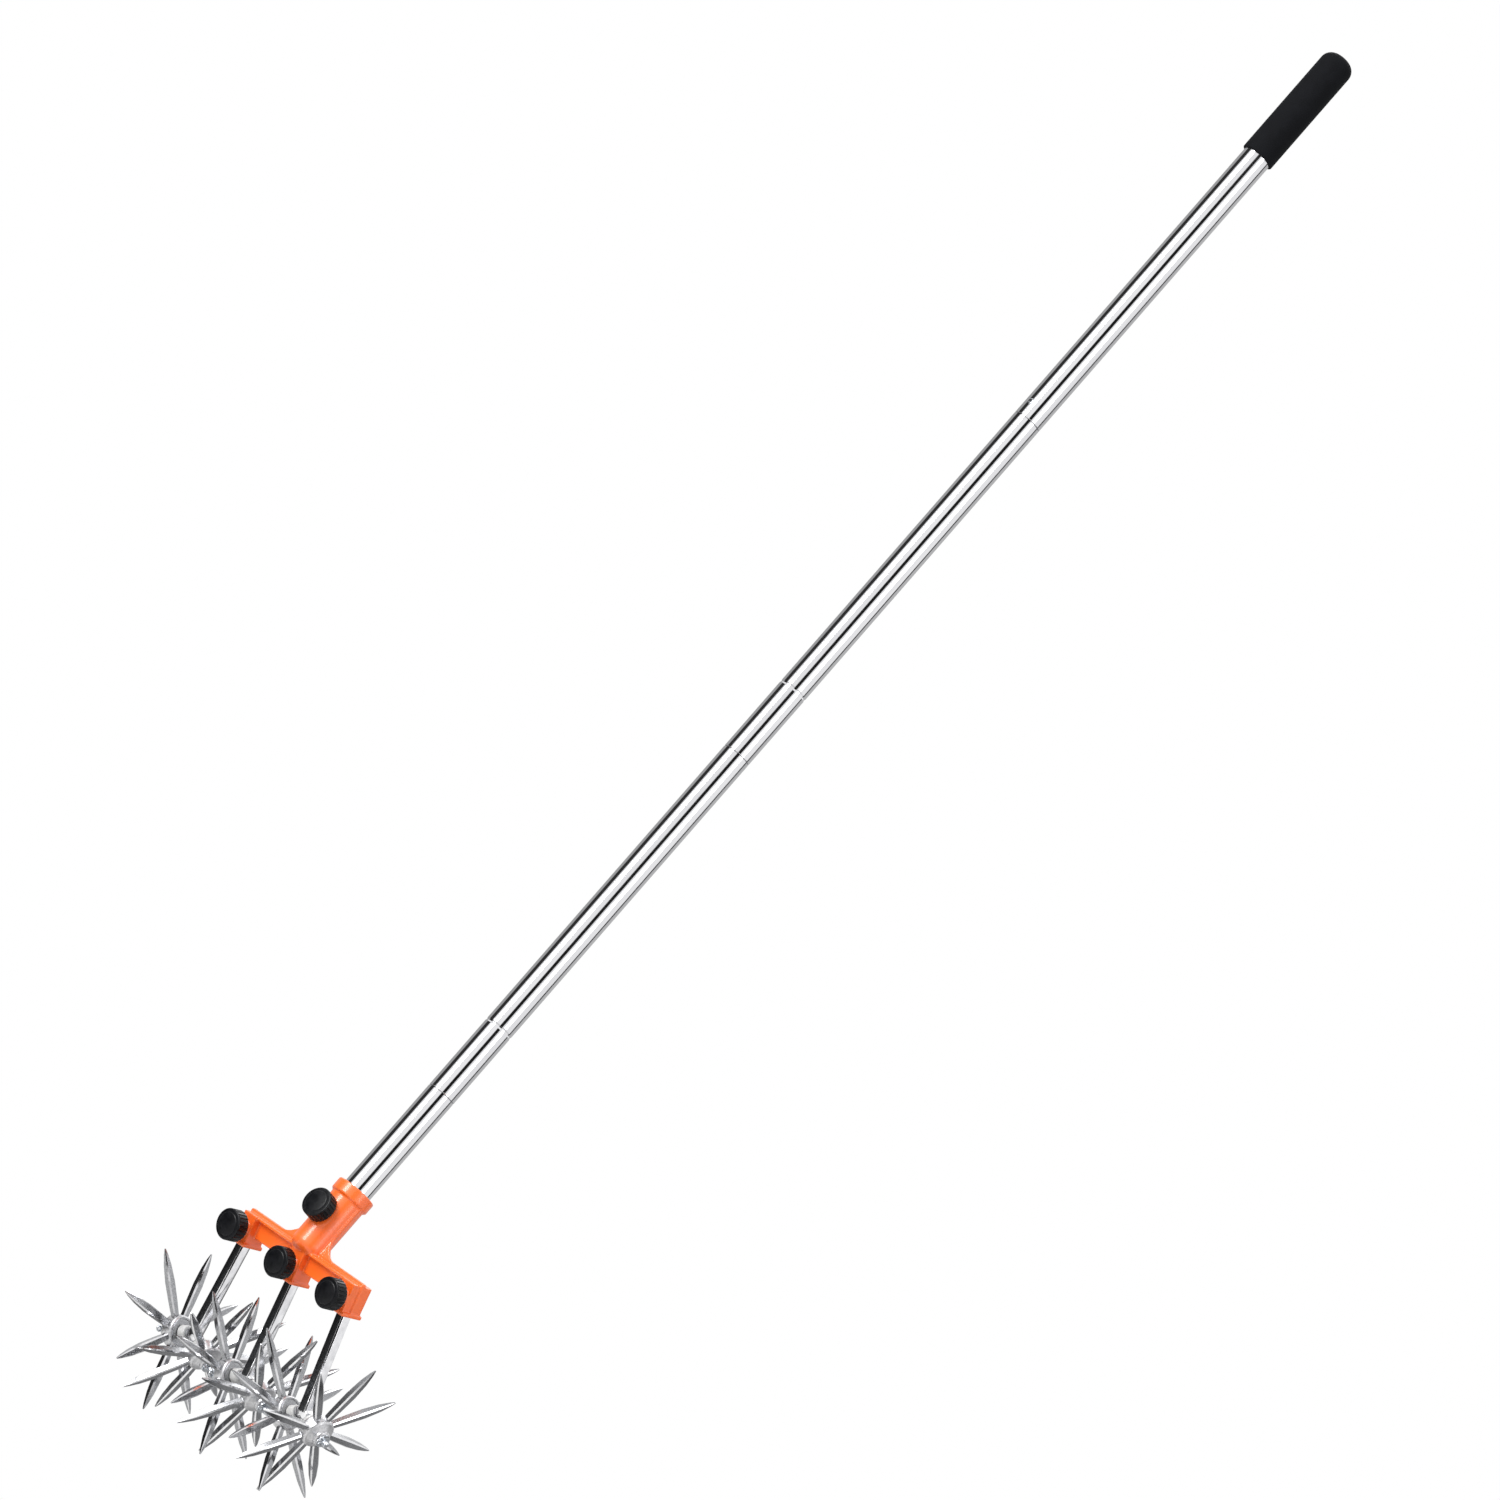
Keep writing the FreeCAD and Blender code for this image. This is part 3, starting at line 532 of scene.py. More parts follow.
def united(first: BMesh, *others: BMesh) -> BMesh:
    """Joins closed shapes into one.

    Args:
        first: the shape that the others join, which is used up.
        others: the other shapes, which are used up too.

    Returns:
        The union, with each face's finish kept.
    """
    holders = []
    for shape in (first, *others):
        mesh = bpy.data.meshes.new("part")
        shape.to_mesh(mesh)
        shape.free()
        # Empty slots let the union keep each face's material index.
        for _ in range(MOST_FINISHES):
            mesh.materials.append(None)
        holder = bpy.data.objects.new("part", mesh)
        bpy.context.scene.collection.objects.link(holder)
        holders.append(holder)
    for other in holders[1:]:
        joint = holders[0].modifiers.new("join", "BOOLEAN")
        joint.operation = "UNION"
        joint.solver = "EXACT"
        joint.object = other
    whole = evaluated(holders[0])
    for holder in holders:
        bpy.data.objects.remove(holder)
    return whole


def evaluated(holder: bpy.types.Object) -> BMesh:
    """Reads an object's mesh with its modifiers applied.

    Args:
        holder: the object.

    Returns:
        Its mesh, as the modifiers leave it.
    """
    seen = holder.evaluated_get(bpy.context.evaluated_depsgraph_get())
    shape = bmesh.new()
    shape.from_mesh(seen.to_mesh())
    seen.to_mesh_clear()
    return shape


def round_edges(shape: BMesh, width: float, sharper: float) -> None:
    """Rounds the edges that are sharper than an angle.

    Args:
        shape: the mesh.
        width: how far the rounding reaches, in metres.
        sharper: the angle in degrees.
    """
    limit = math.radians(sharper)
    edges = [edge for edge in shape.edges if edge.is_manifold and edge.calc_face_angle(0) > limit]
    bmesh.ops.bevel(
        shape, geom=edges, offset=width, segments=EDGE_STEPS, profile=0.5, affect="EDGES", material=-1,
        clamp_overlap=True,
    )


def shade(shape: BMesh, sharper: float) -> None:
    """Shades a mesh smooth, but for its sharper edges.

    Args:
        shape: the mesh.
        sharper: edges above this angle in degrees stay crisp.
    """
    limit = math.radians(sharper)
    for face in shape.faces:
        face.smooth = True
    for edge in shape.edges:
        edge.smooth = edge.calc_face_angle(0) < limit


@dataclass
class Piece:
    """A finished piece of the part.

    Args:
        name: the piece's name.
        node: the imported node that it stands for.
        slot: the record's material slot, which gives its finishes.
        sharper: edges above this angle in degrees stay crisp.
    """

    name: str
    node: str
    slot: Slot
    sharper: float = 32.0

    def place(self, shape: BMesh) -> None:
        """Turns a mesh into the piece, in place of its node, with its object at the origin.

        Args:
            shape: the mesh in the part's frame, which is used up.
        """
        shade(shape, self.sharper)
        mesh = bpy.data.meshes.new(self.name)
        shape.to_mesh(mesh)
        shape.free()
        # A copied node brings the normals of its loose triangles along, which no longer fit.
        old_normals = mesh.attributes.get("custom_normal")
        if old_normals is not None:
            mesh.attributes.remove(old_normals)
        for finish in FINISHES[self.slot]:
            mesh.materials.append(finish.build())
        piece = bpy.data.objects.new(self.name, mesh)
        bpy.context.scene.collection.objects.link(piece)
        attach(piece, body_of(self.node))
        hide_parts(self.node)
        LOG.info("%s stands for %s with %d faces", self.name, self.node, len(mesh.polygons))


@dataclass
class Pole:
    """The grip, the four tube sections and what joins them.

    Args:
        tubes: the sections from the grip down.
        plugs: the turned plugs in the sections' lower ends, each with its stud.
        inserts: the turned inserts that the studs screw into.
        crimped: the sections that are crimped onto their plugs.
        tube_radius: the tube's outer radius.
        wall: the tube's wall.
        edge: how far its ends are chamfered.
        crimp_height: how far a crimped groove lies above its section's lower end.
        crimp_width: how wide the groove is.
        crimp_depth: how deep it is.
        groove_steps: how many faces it has from side to side.
        facets: how many faces a tube has round its axis.
        thread: the thread on each plug's stud.
        stud_bore: the radius of the hole through the stud.
        stud_length: how far the stud stands out of its plug.
        stud_edge: how far its end is chamfered.
    """

    tubes: tuple[str, ...] = ("tube_top", "tube_upper", "tube_lower", "tube_stub")
    plugs: tuple[str, ...] = ("thread_plug_top", "thread_plug_upper", "thread_plug_lower")
    inserts: tuple[str, ...] = ("thread_insert_upper", "thread_insert_lower", "thread_insert_stub")
    crimped: tuple[str, ...] = ("tube_upper", "tube_lower")
    tube_radius: float = mm(12.5)
    wall: float = mm(0.9)
    edge: float = mm(0.4)
    crimp_height: float = mm(69.9)
    crimp_width: float = mm(3.4)
    crimp_depth: float = mm(0.5)
    groove_steps: int = 8
    facets: int = 96
    thread: Thread = Thread(radius=mm(8.0), lead=mm(2.5), depth=mm(1.1), facets=48)
    stud_bore: float = mm(4.5)
    stud_length: float = mm(23.95)
    stud_edge: float = mm(1.2)

    def build(self) -> None:
        """Builds every piece of the pole."""
        for tube in self.tubes:
            Piece(f"{tube}_polished", tube, Slot.TUBE).place(self.tube(tube))
        for plug in self.plugs:
            Piece(f"{plug}_threaded", plug, Slot.ALUMINIUM).place(self.plug(plug))
        for insert in self.inserts:
            Piece(f"{insert}_turned", insert, Slot.ALUMINIUM).place(merged_copy(insert))
        Piece("stub_end_plug_moulded", "stub_end_plug", Slot.PLASTIC).place(merged_copy("stub_end_plug"))
        Piece("plug_rivet_domed", "plug_rivet", Slot.FASTENER).place(merged_copy("plug_rivet"))
        Piece("grip_foam", "grip", Slot.FOAM).place(merged_copy("grip"))

    def tube(self, node: str) -> BMesh:
        """Spins one section of tube, with its crimped groove where it has one.

        Args:
            node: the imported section, which gives its ends and whether it is crimped.

        Returns:
            The tube's mesh in the part's frame.
        """
        low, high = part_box(node)
        foot, head = low.z, high.z
        rim, bore = self.tube_radius, self.tube_radius - self.wall
        outer = [(rim - self.edge, foot), (rim, foot + self.edge)]
        inner = [(bore, foot)]
        if node in self.crimped:
            outer += self.groove(foot, rim)
            inner += self.groove(foot, bore)
        outer += [(rim, head - self.edge), (rim - self.edge, head)]
        inner.append((bore, head))
        return spun(outer + inner[::-1], self.facets)

    def groove(self, foot: float, radius: float) -> Outline:
        """Gives the points of a crimped groove: a shallow round dip between two flat rings.

        The step before the dip and the one after it stay on the wall. They keep the long faces beside
        the groove from being shaded as if they bent.

        Args:
            foot: the height of the section's lower end.
            radius: the radius of the wall that is pressed in.

        Returns:
            The groove's points, from the bottom up.
        """
        points = []
        for step in range(-1, self.groove_steps + 2):
            share = step / self.groove_steps
            dip = (1 - math.cos(2 * math.pi * share)) / 2 if 0 < share < 1 else 0.0
            height = foot + self.crimp_height + (share - 0.5) * self.crimp_width
            points.append((radius - self.crimp_depth * dip, height))
        return points

    def plug(self, node: str) -> BMesh:
        """Builds a plug, with its stud turned anew as a threaded one.

        Args:
            node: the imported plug.

        Returns:
            The plug's mesh in the part's frame.
        """
        shape = merged_copy(node)
        low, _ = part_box(node)
        foot, shoulder = low.z, low.z + self.stud_length
        # Only what is above the stud is kept, and its cut rims are closed again.
        cut = bmesh.ops.bisect_plane(
            shape, geom=[*shape.verts, *shape.edges, *shape.faces], plane_co=(0, 0, shoulder),
            plane_no=(0, 0, 1), clear_inner=True,
        )
        rims = [item for item in cut["geom_cut"] if isinstance(item, bmesh.types.BMEdge)]
        bmesh.ops.bridge_loops(shape, edges=rims)
        tip = self.thread.radius - self.stud_edge
        core = [(self.stud_bore, shoulder), (self.stud_bore, foot), (tip, foot)]
        return joined(shape, self.thread.stud(foot + self.stud_edge, shoulder, core))


@dataclass
class Head:
    """The die-cast head, with the soft edges and fillets that a casting has.

    Args:
        cell: the size of the cells that the casting's skin is drawn in.
        passes: how many times the skin is eased, which sets the fillets' size.
        ease: how far each pass moves a point towards its neighbours, as a share.
        sharper: edges above this angle in degrees stay crisp.
    """

    cell: float = mm(0.62)
    passes: int = 3
    ease: float = 0.5
    sharper: float = 75.0

    def build(self) -> None:
        """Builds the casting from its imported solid."""
        # The cells lie square to the bar, whose faces lean with the shanks.
        _, down = joint_line("shank_middle_slide")
        level = line_frame(Vector(), down, Vector((1, 0, 0))).inverted()
        shape = merged_copy("head_casting")
        bmesh.ops.transform(shape, matrix=level, verts=shape.verts)
        shape = self.recast(shape)
        for _ in range(self.passes):
            bmesh.ops.smooth_vert(
                shape, verts=shape.verts, factor=self.ease, use_axis_x=True, use_axis_y=True, use_axis_z=True
            )
        bmesh.ops.transform(shape, matrix=level.inverted(), verts=shape.verts)
        Piece("head_cast", "head_casting", Slot.ORANGE, sharper=self.sharper).place(shape)

    def recast(self, shape: BMesh) -> BMesh:
        """Draws the casting's skin again in even cells.

        Args:
            shape: the crisp shape, which is used up.

        Returns:
            The same shape in small square faces.
        """
        mesh = bpy.data.meshes.new("head_crisp")
        shape.to_mesh(mesh)
        shape.free()
        holder = bpy.data.objects.new("head_crisp", mesh)
        bpy.context.scene.collection.objects.link(holder)
        skin = holder.modifiers.new("skin", "REMESH")
        skin.mode = "VOXEL"
        skin.voxel_size = self.cell
        even = evaluated(holder)
        bpy.data.objects.remove(holder)
        bpy.data.meshes.remove(mesh)
        return even


@dataclass
class Knobs:
    """The four ribbed clamp knobs and the screws that they are moulded on.

    Args:
        radius: the knob's radius over its ribs.
        ribs: how many ribs it has.
        rib_depth: how deep the gaps between them are.
        disc_radius: the radius of the raised disc on its face.
        disc_rise: how far the disc stands up.
        disc_edge_shares: how far in and up the disc's edge goes, as shares of that rise.
        edge: how far its rim is rounded.
        back_edge: how far its back is chamfered.
        rib_run_out: how far below the rounded rim the gaps end.
        bore: the radius of the hole for its screw.
        socket: how deep that hole is.
        steps_per_rib: how many faces lie round the knob for each rib.
        gap_steps: which of them start or end the gap.
        sharper: its edges above this angle in degrees stay crisp.
        thread: the screw's thread.
        point_radius: the radius of the screw's plain point.
        point_length: how long that point is.
    """

    radius: float = mm(13.0)
    ribs: int = 24
    rib_depth: float = mm(0.8)
    disc_radius: float = mm(9.8)
    disc_rise: float = mm(0.6)
    disc_edge_shares: tuple[tuple[float, float], ...] = ((0.0, 0.0), (0.5, 0.7), (1.5, 1.0))
    edge: float = mm(1.2)
    back_edge: float = mm(0.8)
    rib_run_out: float = mm(0.4)
    bore: float = mm(3.05)
    socket: float = mm(8.0)
    steps_per_rib: int = 6
    gap_steps: tuple[int, ...] = (0, 1)
    sharper: float = 40.0
    thread: Thread = Thread(radius=mm(3.0), lead=mm(1.0), depth=mm(0.55), facets=32)
    point_radius: float = mm(2.2)
    point_length: float = mm(1.6)

    def build(self) -> None:
        """Builds the knobs and screws of all four clamps."""
        for clamp in (*SIDES, "pole"):
            node = f"clamp_knob_{clamp}"
            Piece(f"{node}_ribbed", node, Slot.PLASTIC, sharper=self.sharper).place(self.knob(clamp))
            screw = f"clamp_screw_{clamp}"
            Piece(f"{screw}_plated", screw, Slot.FASTENER).place(self.screw(clamp))

    def stand(self, node: str, clamp: str) -> tuple[Matrix, float]:
        """Finds where a piece of a clamp stands on its axis.

        Args:
            node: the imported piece.
            clamp: which clamp it belongs to.

        Returns:
            A frame at the piece's inner end, with Z outwards, and its length.
        """
        point, along = joint_line(f"knob_{clamp}_turn")
        # The knobs face -Y, whichever way their joints' axes point.
        if along.y > 0:
            along = -along
        heights = [vert.co.dot(along) for vert in frame["nodes"][node].data.vertices]
        base = point + along * (min(heights) - point.dot(along))
        return line_frame(base, along, Vector((1, 0, 0))), max(heights) - min(heights)

    def knob(self, clamp: str) -> BMesh:
        """Builds one knob on its own screw's axis.

        Args:
            clamp: which clamp it belongs to.

        Returns:
            The knob's mesh in the part's frame.
        """
        place, tall = self.stand(f"clamp_knob_{clamp}", clamp)
        shape = self.blank(tall)
        bmesh.ops.transform(shape, matrix=place, verts=shape.verts)
        return shape

    def screw(self, clamp: str) -> BMesh:
        """Builds one clamp's screw: a thread with a plain dog point.

        Args:
            clamp: which clamp it belongs to.

        Returns:
            The screw's mesh in the part's frame.
        """
        place, long = self.stand(f"clamp_screw_{clamp}", clamp)
        core = [(0.0, long), (0.0, 0.0), (self.point_radius, 0.0), (self.point_radius, self.point_length)]
        foot = self.point_length + self.thread.radius - self.point_radius
        shape = self.thread.stud(foot, long, core)
        bmesh.ops.transform(shape, matrix=place, verts=shape.verts)
        return shape

    def blank(self, tall: float) -> BMesh:
        """Builds a knob about Z, standing on its back.

        Args:
            tall: its thickness over the raised disc.

        Returns:
            The knob's mesh.
        """
        face = tall - self.disc_rise
        ribs_end = face - self.edge - self.rib_run_out
        points = [
            (self.bore, 0.0),
            (self.radius - self.back_edge, 0.0),
            (self.radius, self.back_edge),
            (self.radius, ribs_end),
            *rounding((self.radius - self.edge, face - self.edge), self.edge, 0, 90),
            *[
                (self.disc_radius - self.disc_rise * inward, face + self.disc_rise * up)
                for inward, up in self.disc_edge_shares
            ],
            (0.0, tall),
            (0.0, self.socket),
            (self.bore, self.socket),
        ]
        steps = self.ribs * self.steps_per_rib
        shape = spun(points, steps)
        for vert in shape.verts:
            away = math.hypot(vert.co.x, vert.co.y)
            if away < self.radius - WELD or vert.co.z > ribs_end + WELD:
                continue
            step = round(math.atan2(vert.co.y, vert.co.x) / (2 * math.pi) * steps)
            if step % self.steps_per_rib in self.gap_steps:
                vert.co.xy *= 1 - self.rib_depth / self.radius
        return shape


@dataclass
class Shanks:
    """The three plated bars with their yokes, with the drawing's grain and a painted shade on the front and back,
    and bright elsewhere.

    Args:
        edge: how far their edges are rounded.
        sharper: the edges above this angle in degrees are rounded.
        facing: how squarely a face must look forwards or back to get the drawing's grain and the painted shade.
        least_shaded_area: the least area of a face with that grain and painted shade, which leaves the yokes'
            faces bright.
    """

    edge: float = mm(0.18)
    sharper: float = 30.0
    facing: float = 0.96
    least_shaded_area: float = mm(10.0) * mm(10.0)

    def build(self) -> None:
        """Builds the three shanks."""
        _, down = joint_line("shank_middle_slide")
        front = Vector((1, 0, 0)).cross(down).normalized()
        bright, grained_and_shaded = finish_numbers(Slot.SHANK, BURNISHED_BAR, BAR_GRAIN_AND_PAINTED_SHADE)
        for side in SIDES:
            node = f"shank_{side}"
            shape = merged_copy(node, flat_sided=True)
            # Faces looking squarely forwards or back get the drawing's grain and the plate painted dark, a painted
            # shade.
            for face in shape.faces:
                square = abs(face.normal.dot(front)) > self.facing
                large = face.calc_area() > self.least_shaded_area
                face.material_index = grained_and_shaded if square and large else bright
            round_edges(shape, self.edge, self.sharper)
            Piece(f"{node}_bar", node, Slot.SHANK).place(shape)


@dataclass
class StarWheels:
    """The six star wheels: a round hub with eight bevelled, pointed tines.

    Args:
        radius: from the axle to a tine's tip.
        tines: how many tines a wheel has.
        reach_shares: where along a tine its sections lie, as shares of the radius.
        width: how wide a tine is at its widest.
        width_shares: each section's width as a share of that.
        thickness: how thick it is there.
        thickness_shares: each section's thickness as a share of that.
        bevel_share: how far a section's corners are cut, as a share of its width.
        bore: the radius of the hub's hole.
        hub_radius: the drum's radius.
        hub_thickness: how thick the drum is along the axle.
        hub_edge: how far its edges are rounded.
        recess_radius: the radius of the recess in its inner face.
        recess_depth: how deep that is.
        hub_cone: how far the outer face rises to the nose.
        nose_radius: the nose's radius.
        nose_length: how far the nose stands out from the drum.
        nose_edge: how far the nose's rim is rounded.
        facets: how many faces the hub has round its axis.
        inward: how squarely a face of the hub must look inwards to get the cast grain and the painted shade.
        broad: how squarely a face of a tine must lie to one of its sides to get the cast grain and the painted
            shade.
        sharper: edges above this angle in degrees stay crisp.
    """

    radius: float = mm(69.8)
    tines: int = 8
    reach_shares: tuple[float, ...] = (0.15, 0.36, 0.6, 0.8, 0.93, 1.0)
    width: float = mm(7.1)
    width_shares: tuple[float, ...] = (0.74, 0.92, 1.0, 0.77, 0.42, 0.13)
    thickness: float = mm(6.3)
    thickness_shares: tuple[float, ...] = (0.8, 0.94, 1.0, 0.8, 0.46, 0.15)
    bevel_share: float = 0.17
    bore: float = mm(2.83)
    hub_radius: float = mm(13.75)
    hub_thickness: float = mm(11.6)
    hub_edge: float = mm(2.4)
    recess_radius: float = mm(10.5)
    recess_depth: float = mm(0.8)
    hub_cone: float = mm(2.4)
    nose_radius: float = mm(7.2)
    nose_length: float = mm(5.6)
    nose_edge: float = mm(2.6)
    facets: int = 72
    inward: float = 0.9
    broad: float = 0.93
    sharper: float = 20.0

    def build(self) -> None:
        """Builds the six wheels, all from one casting."""
        casting = self.casting()
        for number in WHEELS:
            node = f"star_wheel_{number}"
            shape = casting.copy()
            bmesh.ops.transform(shape, matrix=self.axle_frame(number), verts=shape.verts)
            Piece(f"{node}_plated", node, Slot.CASTING, sharper=self.sharper).place(shape)
        casting.free()

    def axle_frame(self, number: int) -> Matrix:
        """Finds a wheel's frame: Z out along its axle, X along one tine.

        Args:
            number: the wheel's number.

        Returns:
            The matrix from the wheel's frame to the part's.
        """
        point, along = joint_line(f"wheel_{number}_roll")
        low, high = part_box(f"washer_{number}")
        verts = [vert.co for vert in frame["nodes"][f"star_wheel_{number}"].data.vertices]
        tip = max(verts, key=lambda spot: (spot - point).cross(along).length)
        centre = point + along * (tip - point).dot(along)
        if ((low + high) / 2 - point).dot(along) < 0:
            along = -along
        return line_frame(point, along, tip - centre)

    def casting(self) -> BMesh:
        """Builds a wheel about Z, with its nose up.

        Returns:
            The hub and its tines as one shape.
        """
        tines = []
        for number in range(self.tines):
            tine = self.tine()
            turn = Matrix.Rotation(2 * math.pi * number / self.tines, 4, "Z")
            bmesh.ops.transform(tine, matrix=turn, verts=tine.verts)
            tines.append(tine)
        return united(self.hub(), *tines)

    def hub(self) -> BMesh:
        """Spins the hub: a drum with a recessed inner face and a rounded nose.

        Returns:
            The hub's mesh about Z.
        """
        half, nose_top = self.hub_thickness / 2, self.hub_thickness / 2 + self.nose_length
        rim, soft = self.hub_radius - self.hub_edge, self.nose_edge
        points = [
            (self.bore, self.recess_depth - half),
            (self.recess_radius, self.recess_depth - half),
            (self.recess_radius + self.recess_depth / 2, -half),
            *rounding((rim, self.hub_edge - half), self.hub_edge, -90, 0),
            *rounding((rim, half - self.hub_edge), self.hub_edge, 0, 90),
            (self.nose_radius, half + self.hub_cone),
            *rounding((self.nose_radius - soft, nose_top - soft), soft, 0, 90),
            (self.bore, nose_top),
        ]
        shape = spun(points, self.facets)
        grained_and_shaded, satin = finish_numbers(Slot.CASTING, CAST_GRAIN_AND_PAINTED_SHADE, SATIN_HUB)
        # The recessed inner face gets the cast grain and the plate painted darker, a painted shade.
        for face in shape.faces:
            face.material_index = grained_and_shaded if face.normal.z < -self.inward else satin
        return shape

    def tine(self) -> BMesh:
        """Draws out one tine along X: a bevelled bar that swells a little and ends in a point.

        Returns:
            The tine's mesh, with its broad faces marked for the cast grain and the painted shade.
        """
        shape = bmesh.new()
        bmesh.ops.create_grid(shape, x_segments=1, y_segments=1, size=0.5)
        wide, thick = self.width * self.width_shares[0], self.thickness * self.thickness_shares[0]
        bmesh.ops.scale(shape, verts=shape.verts, vec=(wide, thick, 1))
        bmesh.ops.bevel(
            shape, geom=shape.verts[:], offset=wide * self.bevel_share, segments=1, profile=0.5,
            affect="VERTICES", material=-1,
        )
        bmesh.ops.translate(shape, verts=shape.verts, vec=(0, 0, self.radius * self.reach_shares[0]))
        face = shape.faces[:][0]
        for station in range(1, len(self.reach_shares)):
            grown = bmesh.ops.extrude_face_region(shape, geom=[face])["geom"]
            # The first face stays and closes the root. Each later one would be left inside the bar.
            if station > 1:
                bmesh.ops.delete(shape, geom=[face], context="FACES_ONLY")
            face = next(item for item in grown if isinstance(item, bmesh.types.BMFace))
            step = self.reach_shares[station] - self.reach_shares[station - 1]
            bmesh.ops.translate(shape, verts=face.verts, vec=(0, 0, self.radius * step))
            widen = self.width_shares[station] / self.width_shares[station - 1]
            thicken = self.thickness_shares[station] / self.thickness_shares[station - 1]
            bmesh.ops.scale(shape, verts=face.verts, vec=(widen, thicken, 1))
        bmesh.ops.recalc_face_normals(shape, faces=shape.faces)
        bright, grained_and_shaded = finish_numbers(Slot.CASTING, LINISHED_FACE, CAST_GRAIN_AND_PAINTED_SHADE)
        # The broad faces get the cast grain and the plate painted darker than the bevels, a painted shade.
        for face in shape.faces:
            flat = max(abs(face.normal.x), abs(face.normal.y)) > self.broad
            face.material_index = grained_and_shaded if flat else bright
        to_radius = Matrix(((0, 0, 1), (1, 0, 0), (0, 1, 0))).to_4x4()
        bmesh.ops.transform(shape, matrix=to_radius, verts=shape.verts)
        return shape


@dataclass
class AxleFittings:
    """What sits on each axle: the pin itself, its spacer, washer and split pin.

    Args:
        slots: the slot of each kind of fitting.
        edge: how far a washer's edges are rounded.
        sharper: its edges above this angle in degrees are rounded.
    """

    slots: tuple[tuple[str, Slot], ...] = (
        ("axle_pin", Slot.FASTENER), ("spacer", Slot.NYLON), ("washer", Slot.FASTENER),
        ("split_pin", Slot.FASTENER),
    )
    edge: float = mm(0.12)
    sharper: float = 40.0

    def build(self) -> None:
        """Builds the small pieces of all six axles."""
        for number in WHEELS:
            for kind, slot in self.slots:
                node = f"{kind}_{number}"
                shape = merged_copy(node)
                if kind == "washer":
                    round_edges(shape, self.edge, self.sharper)
                Piece(f"{node}_fitted", node, slot).place(shape)


@dataclass(frozen=True)
class Softbox:
    """A lamp behind a sheet of cloth, which faces the middle of the part.

    Args:
        name: the lamp's name.
        place: where it stands, from the part's middle.
        size: its width and height.
        watts: its power.
    """

    name: str
    place: tuple[float, float, float]
    size: tuple[float, float]
    watts: float

    def build(self) -> None:
        """Hangs the softbox in the studio."""
        low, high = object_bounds()
        middle, place = (Vector(low) + Vector(high)) / 2, Vector(self.place)
        lamp = bpy.data.lights.new(self.name, "AREA")
        lamp.shape = "RECTANGLE"
        lamp.size, lamp.size_y = self.size
        lamp.energy = self.watts
        holder = bpy.data.objects.new(self.name, lamp)
        holder.matrix_world = line_frame(middle + place, place, Vector((0, 0, 1)).cross(place))
        bpy.context.scene.collection.objects.link(holder)


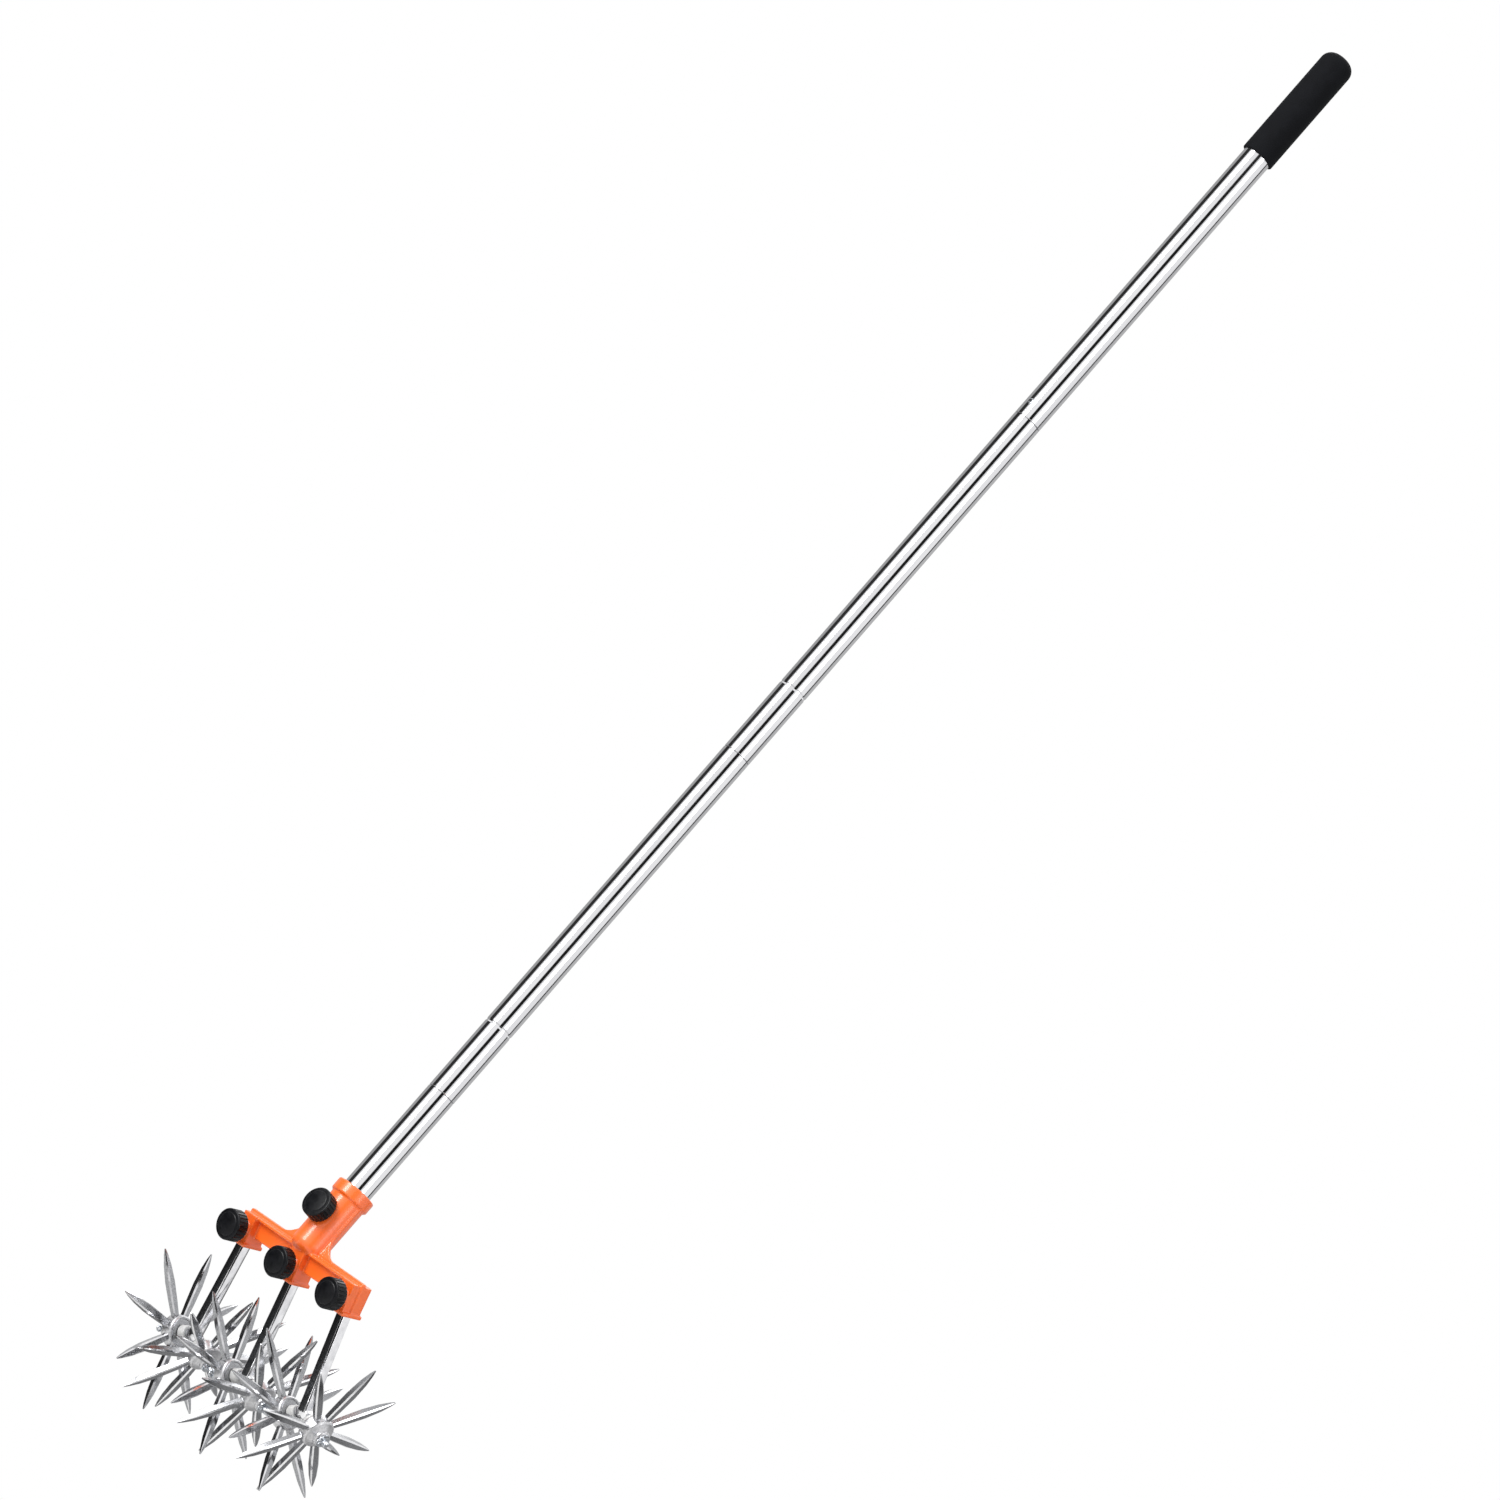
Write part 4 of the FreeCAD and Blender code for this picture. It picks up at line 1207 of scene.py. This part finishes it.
@dataclass
class Studio:
    """The camera, the lamps, the pale floor and the white sweep round the part.

    Args:
        eye: where the camera stands.
        gaze: the way that it looks.
        down: the way that is down in its picture.
        focal_share: its focal length as a share of the picture's width.
        sensor: the width of its sensor in millimetres.
        sight: how far it sees.
        floor_colour: the floor's paint, as sRGB hex.
        floor_roughness: how rough that paint is.
        floor_drop: how far below the camera the floor lies.
        floor_reach: how far the floor reaches to each side.
        floor_lift: how much brighter the camera sees the floor, so that it melts into the sweep.
        ambient: how bright the sweep is as a light.
        screens: how bright the sweep's screens are in metal, by the way they stand, in degrees from +X.
        foot_level: how bright their feet are, as a share.
        foot_rises: between which rises they brighten to the whole, 1 being straight up.
        ceiling_rises: between which rises they turn into a white ceiling.
        softboxes: the lamps.
    """

    eye: tuple[float, float, float] = (5.4913, -6.0384, -2.183)
    gaze: tuple[float, float, float] = (-0.66071, 0.7275, 0.18495)
    down: tuple[float, float, float] = (0.39233, 0.54473, -0.74118)
    focal_share: float = 6.8967
    sensor: float = 36.0
    sight: float = 60.0
    floor_colour: str = "#f2f2f0"
    floor_roughness: float = 0.9
    floor_drop: float = 0.45
    floor_reach: float = 1.7
    floor_lift: float = 0.45
    ambient: float = 0.6
    screens: tuple[tuple[float, float], ...] = (
        (-180, 0.42), (-164, 0.42), (-161, 0.03), (-129, 0.03), (-126, 1.0),
        (-55, 1.0), (-52, 0.01), (-32, 0.01), (-29, 1.0),
        (49, 1.0), (51, 0.0), (60, 0.0), (63, 0.55), (118, 0.55), (124, 0.42), (180, 0.42),
    )
    foot_level: float = 0.7
    foot_rises: tuple[float, float] = (-0.5, -0.12)
    ceiling_rises: tuple[float, float] = (0.3, 0.42)
    softboxes: tuple[Softbox, ...] = (
        Softbox("key_softbox", (-0.6, -3.1, 0.75), (1.1, 2.6), 112.0),
        Softbox("right_softbox", (3.4, -0.4, 0.9), (1.2, 2.0), 30.0),
        Softbox("top_softbox", (-1.2, 1.2, 2.6), (1.6, 1.6), 26.0),
    )

    def build(self) -> None:
        """Sets up the whole studio."""
        scene = bpy.context.scene
        scene.view_settings.view_transform = "Standard"
        self.build_camera(scene)
        self.build_floor()
        self.build_sweep(scene)
        for softbox in self.softboxes:
            softbox.build()

    def build_camera(self, scene: bpy.types.Scene) -> None:
        """Places the camera.

        Args:
            scene: the scene that looks through it.
        """
        gaze, down = Vector(self.gaze).normalized(), Vector(self.down).normalized()
        right = gaze.cross(-down).normalized()
        turn = Matrix((right, right.cross(gaze), -gaze)).transposed().to_4x4()
        lens = bpy.data.cameras.new("camera")
        lens.sensor_width = self.sensor
        lens.lens = self.focal_share * self.sensor
        lens.clip_end = self.sight
        camera = bpy.data.objects.new("camera", lens)
        camera.matrix_world = Matrix.Translation(self.eye) @ turn
        scene.collection.objects.link(camera)
        scene.camera = camera

    def build_floor(self) -> None:
        """Lays the pale floor under the camera."""
        shape = bmesh.new()
        bmesh.ops.create_grid(shape, x_segments=1, y_segments=1, size=self.floor_reach)
        bmesh.ops.translate(shape, verts=shape.verts, vec=(0, 0, Vector(self.eye).z - self.floor_drop))
        mesh = bpy.data.meshes.new("floor")
        shape.to_mesh(mesh)
        shape.free()
        mesh.materials.append(self.floor_paint())
        floor = bpy.data.objects.new("floor", mesh)
        bpy.context.scene.collection.objects.link(floor)
        floor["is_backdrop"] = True

    def floor_paint(self) -> bpy.types.Material:
        """Mixes the floor's paint.

        Returns:
            The floor's material.
        """
        material = bpy.data.materials.new("floor_painted_white")
        material.use_nodes = True
        tree = material.node_tree
        paint = tree.nodes["Principled BSDF"]
        paint.inputs["Base Color"].default_value = linear(self.floor_colour)
        paint.inputs["Roughness"].default_value = self.floor_roughness
        paint.inputs["Emission Color"].default_value = grey(1.0)
        ray = add_node(tree, "ShaderNodeLightPath")
        lift = add_node(
            tree, "ShaderNodeMath", {"operation": "MULTIPLY", 1: self.floor_lift},
            {0: ray.outputs["Is Camera Ray"]},
        )
        tree.links.new(lift.outputs[0], paint.inputs["Emission Strength"])
        return material

    def build_sweep(self, scene: bpy.types.Scene) -> None:
        """Makes the white sweep: plain white behind the part, with dark gaps that only metal shows.

        Args:
            scene: the scene that it surrounds.
        """
        world = bpy.data.worlds.new("sweep")
        world.use_nodes = True
        scene.world = world
        tree = world.node_tree
        ray = add_node(tree, "ShaderNodeLightPath")
        light = add_node(tree, "ShaderNodeBackground", {"Color": grey(1.0), "Strength": self.ambient})
        mirrored = self.seen_in_metal(tree)
        metal = add_node(tree, "ShaderNodeBackground", {"Strength": 1.0}, {"Color": mirrored})
        plain = add_node(tree, "ShaderNodeBackground", {"Color": grey(1.0), "Strength": 1.0})
        glossy = add_node(
            tree, "ShaderNodeMixShader", {},
            {0: ray.outputs["Is Glossy Ray"], 1: light.outputs[0], 2: metal.outputs[0]},
        )
        direct = add_node(
            tree, "ShaderNodeMath", {"operation": "MAXIMUM"},
            {0: ray.outputs["Is Camera Ray"], 1: ray.outputs["Is Transmission Ray"]},
        )
        mix = add_node(
            tree, "ShaderNodeMixShader", {},
            {0: direct.outputs[0], 1: glossy.outputs[0], 2: plain.outputs[0]},
        )
        tree.links.new(mix.outputs[0], tree.nodes["World Output"].inputs["Surface"])

    def seen_in_metal(self, tree: bpy.types.NodeTree) -> bpy.types.NodeSocket:
        """Draws what metal mirrors: the screens all round, darker at their feet, under a white ceiling.

        Args:
            tree: the sweep's node tree.

        Returns:
            The output that holds the colour.
        """
        way = add_node(tree, "ShaderNodeTexCoord")
        parts = add_node(tree, "ShaderNodeSeparateXYZ", {}, {0: way.outputs["Generated"]})
        turn = add_node(
            tree, "ShaderNodeMath", {"operation": "ARCTAN2"}, {0: parts.outputs["Y"], 1: parts.outputs["X"]}
        )
        share = add_node(
            tree, "ShaderNodeMapRange", {"From Min": -math.pi, "From Max": math.pi},
            {"Value": turn.outputs[0]},
        )
        screens = add_node(tree, "ShaderNodeValToRGB", {}, {"Fac": share.outputs[0]})
        self.set_screens(screens.color_ramp)
        low, high = self.foot_rises
        feet = add_node(
            tree, "ShaderNodeMapRange", {"From Min": low, "From Max": high, "To Min": self.foot_level},
            {"Value": parts.outputs["Z"]},
        )
        shaded = add_node(
            tree, "ShaderNodeMix", {"data_type": "RGBA", "blend_type": "MULTIPLY", MIX_SHARE: 1.0},
            {MIX_FIRST: screens.outputs[0], MIX_SECOND: feet.outputs[0]},
        )
        low, high = self.ceiling_rises
        ceiling = add_node(
            tree, "ShaderNodeMapRange", {"From Min": low, "From Max": high}, {"Value": parts.outputs["Z"]}
        )
        whole = add_node(
            tree, "ShaderNodeMix", {"data_type": "RGBA", "blend_type": "LIGHTEN", MIX_SHARE: 1.0},
            {MIX_FIRST: shaded.outputs[MIX_RESULT], MIX_SECOND: ceiling.outputs[0]},
        )
        return whole.outputs[MIX_RESULT]

    def set_screens(self, ramp: bpy.types.ColorRamp) -> None:
        """Sets how bright the screens are, all the way round the part.

        Args:
            ramp: the ramp that goes once round, from the -X side through the front and back again.
        """
        first = ramp.elements[0]
        while len(ramp.elements) > 1:
            ramp.elements.remove(ramp.elements[-1])
        first.position, first.color = 0.0, grey(self.screens[0][1])
        for turn, level in self.screens[1:]:
            ramp.elements.new((turn + 180) / 360).color = grey(level)


def main() -> None:
    """Builds every sub-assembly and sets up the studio."""
    logging.basicConfig(level=logging.INFO, format="%(name)s: %(message)s")
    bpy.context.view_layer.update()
    assemblies = (Pole(), Head(), Knobs(), Shanks(), StarWheels(), AxleFittings(), Studio())
    for assembly in assemblies:
        assembly.build()
        LOG.info("%s is done", type(assembly).__name__)


if __name__ == "__main__":
    main()
